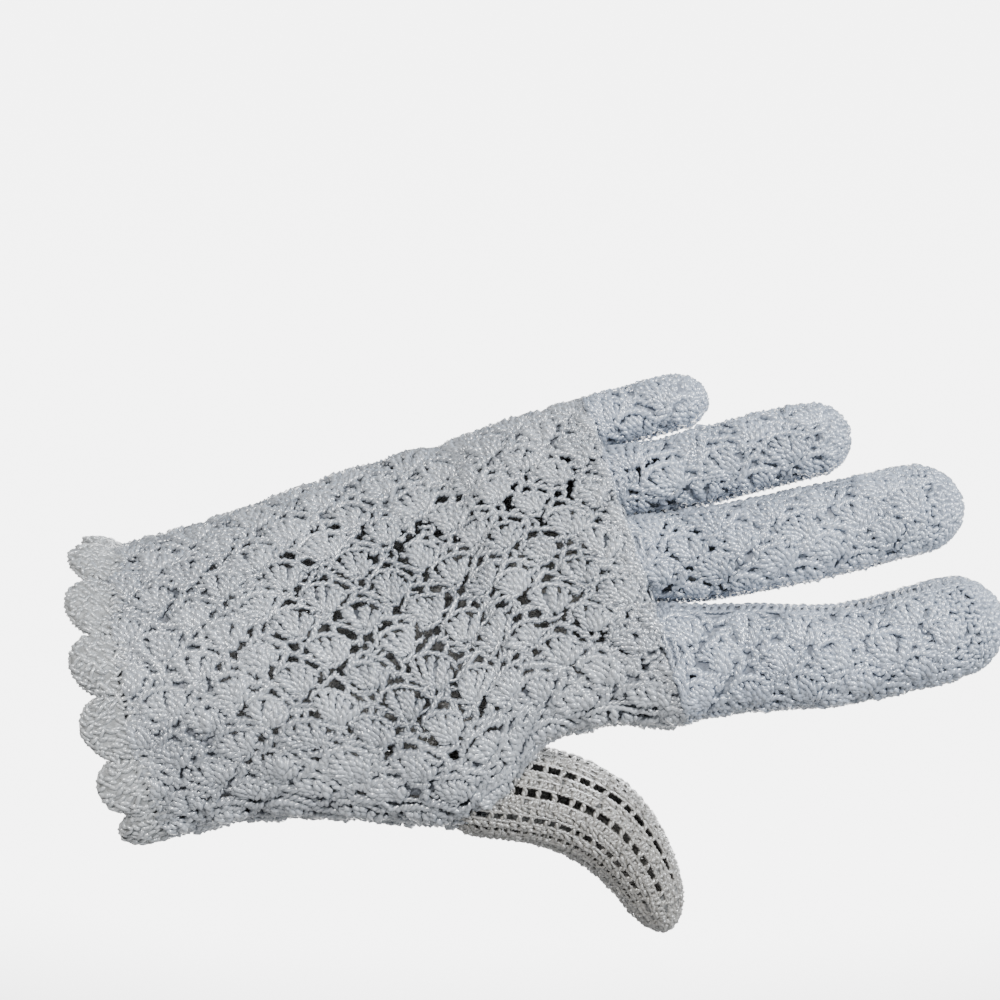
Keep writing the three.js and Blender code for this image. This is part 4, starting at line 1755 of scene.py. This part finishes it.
@dataclass
class CuffEdging(Dressing):
    """The cuff: puffy scallops that flare from the wrist, each one of short stitches in arcs.

    Attributes:
        scallops: Number of scallops round the wrist.
        band: Plain band before the scallops start.
        reach: How far a scallop's middle stands out past the band.
        flare: How far the edge stands away from the wrist's own line.
        shift: Turn of the scallops round the wrist, as a share of one.
        arcs: Arcs of stitches in each scallop.
        puff: Height of a scallop's edge and of its middle above that.
    """

    scallops: int = 13
    band: float = 3.0
    reach: float = 6.0
    flare: float = 2.0
    shift: float = 0.6
    arcs: int = 9
    puff: tuple[float, float] = (0.4, 1.6)

    def build(self) -> list[bpy.types.Object]:
        """Crochets the stitches and their rims over a puffed ground.

        Returns:
            The pieces.
        """
        rng = np.random.default_rng(SEED + 3)
        yarn, ground = Yarn(), Ground()
        self._lay_stitches(yarn, rng)
        self._lay_rims(yarn, rng)
        self._lay_ground(ground)
        return self.dress(ground, yarn=yarn)

    def edge(self, phase: Array) -> Array:
        """Reach of the edging at a phase of a scallop: band + reach times the root of a sine."""
        return self.band + self.reach * np.sqrt(np.abs(np.sin(np.pi * phase)))

    def place(self, turn: Array, back: Array, height: Array) -> tuple[Array, Array]:
        """Points of the edging, which goes straight back from the wrist section and flares.

        Args:
            turn: Place round the wrist, in scallops.
            back: Distance back from the wrist.
            height: Height above the middle of the cloth.

        Returns:
            Points and normals.
        """
        turn, back, height = np.broadcast_arrays(turn, back, height)
        fine = np.linspace(-30, 390, 1681)
        zero = np.zeros_like(turn, dtype=float)
        outline = HAND.point(np.zeros_like(fine), fine, 0.0)
        length = lengths_along(outline[None])[0]
        first, last = np.interp([0.0, 360.0], fine, length)
        angle = np.interp(first + (turn + self.shift) / self.scallops * (last - first), length, fine)
        out = HAND.point(zero, angle, 0.0) - HAND.point(zero, angle, CLOTH_DEPTH)
        normal = out / np.linalg.norm(out, axis=-1, keepdims=True)
        _, _, ahead = section_axes(np.array(HAND_SECTIONS[0][5]))
        beyond = np.maximum(back, 0.0)
        flare = self.flare * beyond / (self.band + self.reach)
        base = HAND.point(beyond - back, angle, CLOTH_DEPTH + 0.4) - GAP * ahead
        points = base + normal * (height + flare)[..., None]
        points[..., 0] -= beyond
        return points, normal

    def dome(self, phase: Array, out: Array) -> Array:
        """Height of the puffed cloth: powers of sines of the phase and of the share of the way out."""
        round_it, outwards = np.sin(np.pi * phase) ** 0.4, np.sin(np.pi * (0.12 + 0.78 * out)) ** 0.8
        return self.puff[0] + self.puff[1] * round_it * outwards

    def _lay_stitches(self, yarn: Yarn, rng: np.random.Generator) -> None:
        """Short stitches in arcs across each scallop, which point outwards and lean in turn.

        Args:
            yarn: Takes the stitches.
            rng: Source of their small differences.
        """
        t = np.linspace(-0.5, 0.5, 5)
        centre = np.arange(self.scallops)[:, None, None]
        for number, out in enumerate(np.linspace(-0.2, 0.93, self.arcs)):
            count = 9 + number % 2
            phase = (np.arange(count) + 0.5)[:, None] / count
            shape = (self.scallops, count, 1)
            lean = (0.06 if number % 2 else -0.06) + rng.normal(0, 0.07, shape)
            turn = phase + lean * t + rng.normal(0, 0.02, shape)
            share = np.minimum(out + 0.22 * t + rng.normal(0, 0.03, shape), 0.99)
            inside = np.clip(turn, 0.02, 0.98)
            back = share * np.where(share > 0, self.edge(inside), 9.0)
            height = self.dome(inside, np.clip(share, 0, 1)) - 0.15 + 0.3 * np.cos(np.pi * t)
            points, normals = self.place(centre + turn, back, height + rng.normal(0, 0.1, shape))
            tone = 0.8 + rng.normal(0, 0.1, self.scallops * count)
            radius = 0.5 * (1 + rng.normal(0, 0.12, len(tone)))
            yarn.lay(points.reshape(-1, 5, 3), normals.reshape(-1, 5, 3), radius, tone, 0.7)

    def _lay_rims(self, yarn: Yarn, rng: np.random.Generator) -> None:
        """A chain along each scallop's edge.

        Args:
            yarn: Takes the chains.
            rng: Source of their small differences.
        """
        phase = np.linspace(0.02, 0.98, 23)
        centre = np.arange(self.scallops)[:, None]
        points, normals = self.place(centre + phase, 0.98 * self.edge(phase)[None], np.array(0.2))
        tone = 0.85 + rng.normal(0, 0.06, self.scallops)
        yarn.twist(points, normals, RIM_PLY, tone, rng.random(self.scallops))

    def _lay_ground(self, ground: Ground) -> None:
        """Puffed slabs: a dome over each scallop, thinner to its edge, and a band at the wrist.

        Args:
            ground: Takes the slabs.
        """
        phase = np.linspace(0.0, 1.0, 13)
        t = np.linspace(0.0, 0.96, 8)[:, None]
        dome = self.dome(phase, t) + 0.1
        centre = np.arange(self.scallops)[:, None, None]
        ground.lay_sheet(self.place, centre + phase, t * self.edge(phase), dome, 0.1 - 0.5 * dome)
        turn = np.linspace(0, self.scallops, 105)
        back = np.linspace(-3.0, 3.6, 5)[:, None]
        ground.lay_sheet(self.place, turn, back, 0.1, -0.4)


@dataclass(frozen=True)
class Lamp:
    """A square soft light that faces the glove.

    Attributes:
        name: Name of the light.
        place: Its place in millimetres.
        size: Length of its side in millimetres.
        power: Its power in watts.
        color: Its linear colour.
    """

    name: str
    place: tuple[float, float, float]
    size: float
    power: float
    color: tuple[float, float, float]


@dataclass
class Studio:
    """A pale bowl with soft lights, and the camera at the photograph's place.

    Attributes:
        lens: Focal length in millimetres.
        sensor: Width of the sensor in millimetres.
        eye: Place of the camera in millimetres.
        target: Middle of the glove in millimetres, which the lamps face.
        lamps: The soft lights.
        air: Strength of the light from all round.
        floor: Height of the bowl's floor in millimetres.
        radius: Radius of its flat floor in millimetres.
        bend: Radius of the bend from floor to wall in millimetres.
        wall: Height of the wall's top above the floor in millimetres.
        sides: Sides of the bowl.
        glow: Strength of the wall's light behind the glove.
        glow_place: Middle of that light in millimetres.
        glow_reach: Distances from it where the light starts to fade and where it ends.
    """

    lens: float = 50.0
    sensor: float = 36.0
    eye: tuple[float, float, float] = (78.75, -312.5, 42.1)
    target: tuple[float, float, float] = (90.0, 0.0, 15.0)
    lamps: tuple[Lamp, ...] = (
        Lamp("key", (-20.0, -700.0, 480.0), 140.0, 6.4, (1.0, 0.99, 0.97)),
        Lamp("sky", (150.0, 100.0, 700.0), 400.0, 0.8, (0.55, 0.75, 1.0)),
        Lamp("fill", (720.0, -380.0, 230.0), 200.0, 6.2, (0.90, 0.95, 1.0)),
    )
    air: float = 0.1
    floor: float = -260.0
    radius: float = 900.0
    bend: float = 500.0
    wall: float = 1700.0
    sides: int = 64
    glow: float = 5.5
    glow_place: tuple[float, float, float] = (90.0, 1400.0, 42.0)
    glow_reach: tuple[float, float] = (800.0, 1300.0)

    def build(self) -> None:
        """Makes the bowl, the lights and the camera."""
        self._bowl()
        for lamp in self.lamps:
            self._light(lamp)
        world = bpy.data.worlds.new("studio")
        world.use_nodes = True
        background = world.node_tree.nodes["Background"]
        background.inputs["Color"].default_value = (0.93, 0.96, 1.0, 1.0)
        background.inputs["Strength"].default_value = self.air
        bpy.context.scene.world = world
        camera = bpy.data.objects.new("camera", bpy.data.cameras.new("camera"))
        camera.data.lens = self.lens
        camera.data.sensor_width = self.sensor
        camera.location = tuple(v * MM for v in self.eye)
        camera.rotation_euler = (np.pi / 2, 0.0, 0.0)
        bpy.context.scene.collection.objects.link(camera)
        bpy.context.scene.camera = camera

    def _light(self, lamp: Lamp) -> None:
        """Adds a lamp.

        Args:
            lamp: The lamp.
        """
        light = bpy.data.lights.new(lamp.name, "AREA")
        light.size = lamp.size * MM
        light.energy = lamp.power
        light.color = lamp.color
        holder = bpy.data.objects.new(lamp.name, light)
        holder.location = tuple(v * MM for v in lamp.place)
        direction = Vector(tuple(np.subtract(self.target, lamp.place)))
        holder.rotation_euler = direction.to_track_quat("-Z", "Y").to_euler()
        bpy.context.scene.collection.objects.link(holder)

    def _glow(self, recipe: Recipe) -> None:
        """Lets the wall behind the glove shine: its strength falls to 0 between two distances.

        Args:
            recipe: The wall's material.
        """
        place = recipe.node("ShaderNodeTexCoord")
        apart = recipe.node("ShaderNodeVectorMath", operation="DISTANCE")
        recipe.link(place.outputs["Object"], apart.inputs[0])
        apart.inputs[1].default_value = tuple(v * MM for v in self.glow_place)
        fade = recipe.node("ShaderNodeMapRange", interpolation_type="SMOOTHSTEP")
        recipe.link(apart.outputs["Value"], fade.inputs["Value"])
        fade.inputs["From Min"].default_value = self.glow_reach[0] * MM
        fade.inputs["From Max"].default_value = self.glow_reach[1] * MM
        fade.inputs["To Min"].default_value = self.glow
        fade.inputs["To Max"].default_value = 0.0
        recipe.link(fade.outputs["Result"], recipe.shader.inputs["Emission Strength"])

    def _bowl(self) -> None:
        """A floor that bends up into a wall all round: a profile turned about the glove's axis."""
        angle = np.linspace(0, np.pi / 2, 16)
        flat = np.concatenate([[0.0], np.linspace(100.0, self.radius, 6)])
        reach = [flat, self.radius + self.bend * np.sin(angle), [self.radius + self.bend]]
        rise = [np.zeros_like(flat), self.bend * (1 - np.cos(angle)), [self.wall]]
        reach, rise = np.concatenate(reach)[:, None], np.concatenate(rise)[:, None] + self.floor
        turn = 2 * np.pi * np.arange(self.sides) / self.sides
        x = self.target[0] + reach * np.cos(turn)
        vertices = np.stack([x, reach * np.sin(turn), rise + 0 * x], -1).reshape(-1, 3)
        index = np.arange(len(vertices)).reshape(len(reach), self.sides)
        faces = grid_faces(index[None], np.roll(index, -1, axis=1)[None])
        bowl = new_object("bowl", vertices, [faces], vertices[:, :2], np.ones(len(vertices)))
        recipe = Recipe("pale_paper")
        speck = recipe.noise(3.0, 1.0)
        color = recipe.ramp(speck, [(0.0, (0.28, 0.28, 0.28)), (1.0, (0.31, 0.31, 0.31))])
        recipe.link(color, recipe.shader.inputs["Base Color"])
        recipe.set({"Roughness": 0.9, "Specular IOR Level": 0.0, "Emission Color": (1.0, 1.0, 1.0, 1.0)})
        self._glow(recipe)
        recipe.material.cycles.emission_sampling = "NONE"
        bowl.data.materials.append(recipe.material)


# Each finish runs from its painted shade colour to its bright colour.
LACE_YARN = YarnFinish("lace_yarn", (0.075, 0.088, 0.115), (0.53, 0.56, 0.605), 0.3)
LACE_GROUND = GroundFinish("lace_ground", (0.08, 0.09, 0.11), (0.40, 0.42, 0.47))
FINGER_YARN = YarnFinish("finger_yarn", (0.095, 0.118, 0.165), (0.535, 0.595, 0.70), 0.3)
FINGER_GROUND = GroundFinish("finger_ground", (0.22, 0.245, 0.30), (0.49, 0.535, 0.61))
MESH_YARN = YarnFinish("mesh_yarn", (0.075, 0.07, 0.065), (0.465, 0.445, 0.415), 0.33)
PALM_YARN = YarnFinish("palm_yarn", (0.12, 0.125, 0.14), (0.48, 0.49, 0.51), 0.33)
MESH_GROUND = GroundFinish("mesh_ground", (0.10, 0.10, 0.10), (0.40, 0.39, 0.38))
EDGING_YARN = YarnFinish("edging_yarn", (0.15, 0.158, 0.17), (0.55, 0.565, 0.575), 0.33)
EDGING_GROUND = GroundFinish("edging_ground", (0.28, 0.285, 0.285), (0.49, 0.50, 0.505))


def fingers() -> list[Finger]:
    """The four fingers, each with its lace laid out from the photograph.

    Returns:
        Index, middle, ring and little finger.
    """
    shared = (Slot.LACE, FINGER_YARN, FINGER_GROUND)
    return [
        Finger("index_finger", *shared, INDEX, lace=(42.0, 176.0), rows=4.0, repeats=6.6,
               first=(0.35, 0.3), plain_end=21.0, open_part=0.06, seed=4),
        Finger("middle_finger", *shared, MIDDLE, lace=(30.0, 165.0), rows=4.0, repeats=6.2,
               first=(0.3, 0.3), plain_end=18.0, open_part=0.25, seed=5),
        Finger("ring_finger", *shared, RING, lace=(30.0, 165.0), rows=3.0, repeats=4.2,
               first=(0.3, 0.3), plain_end=10.0, open_part=0.22, seed=6),
        Finger("little_finger", *shared, LITTLE, lace=(30.0, 165.0), rows=2.2, repeats=2.4,
               first=(0.3, 0.3), plain_end=7.0, open_part=0.2, seed=7),
    ]


def main() -> None:
    """Builds the studio and then each part of the glove."""
    Studio().build()
    parts = [
        HandBack("back_panel", Slot.LACE, LACE_YARN, LACE_GROUND),
        PalmEdge("palm_panel", Slot.MESH, LACE_YARN, LACE_GROUND),
        HandPalm("palm_panel", Slot.MESH, PALM_YARN, MESH_GROUND),
        Thumb("thumb", Slot.MESH, MESH_YARN, MESH_GROUND),
        CuffEdging("cuff_edging", Slot.EDGING, EDGING_YARN, EDGING_GROUND),
        *fingers(),
    ]
    for part in parts:
        part.build()


if __name__ == "__main__":
    main()
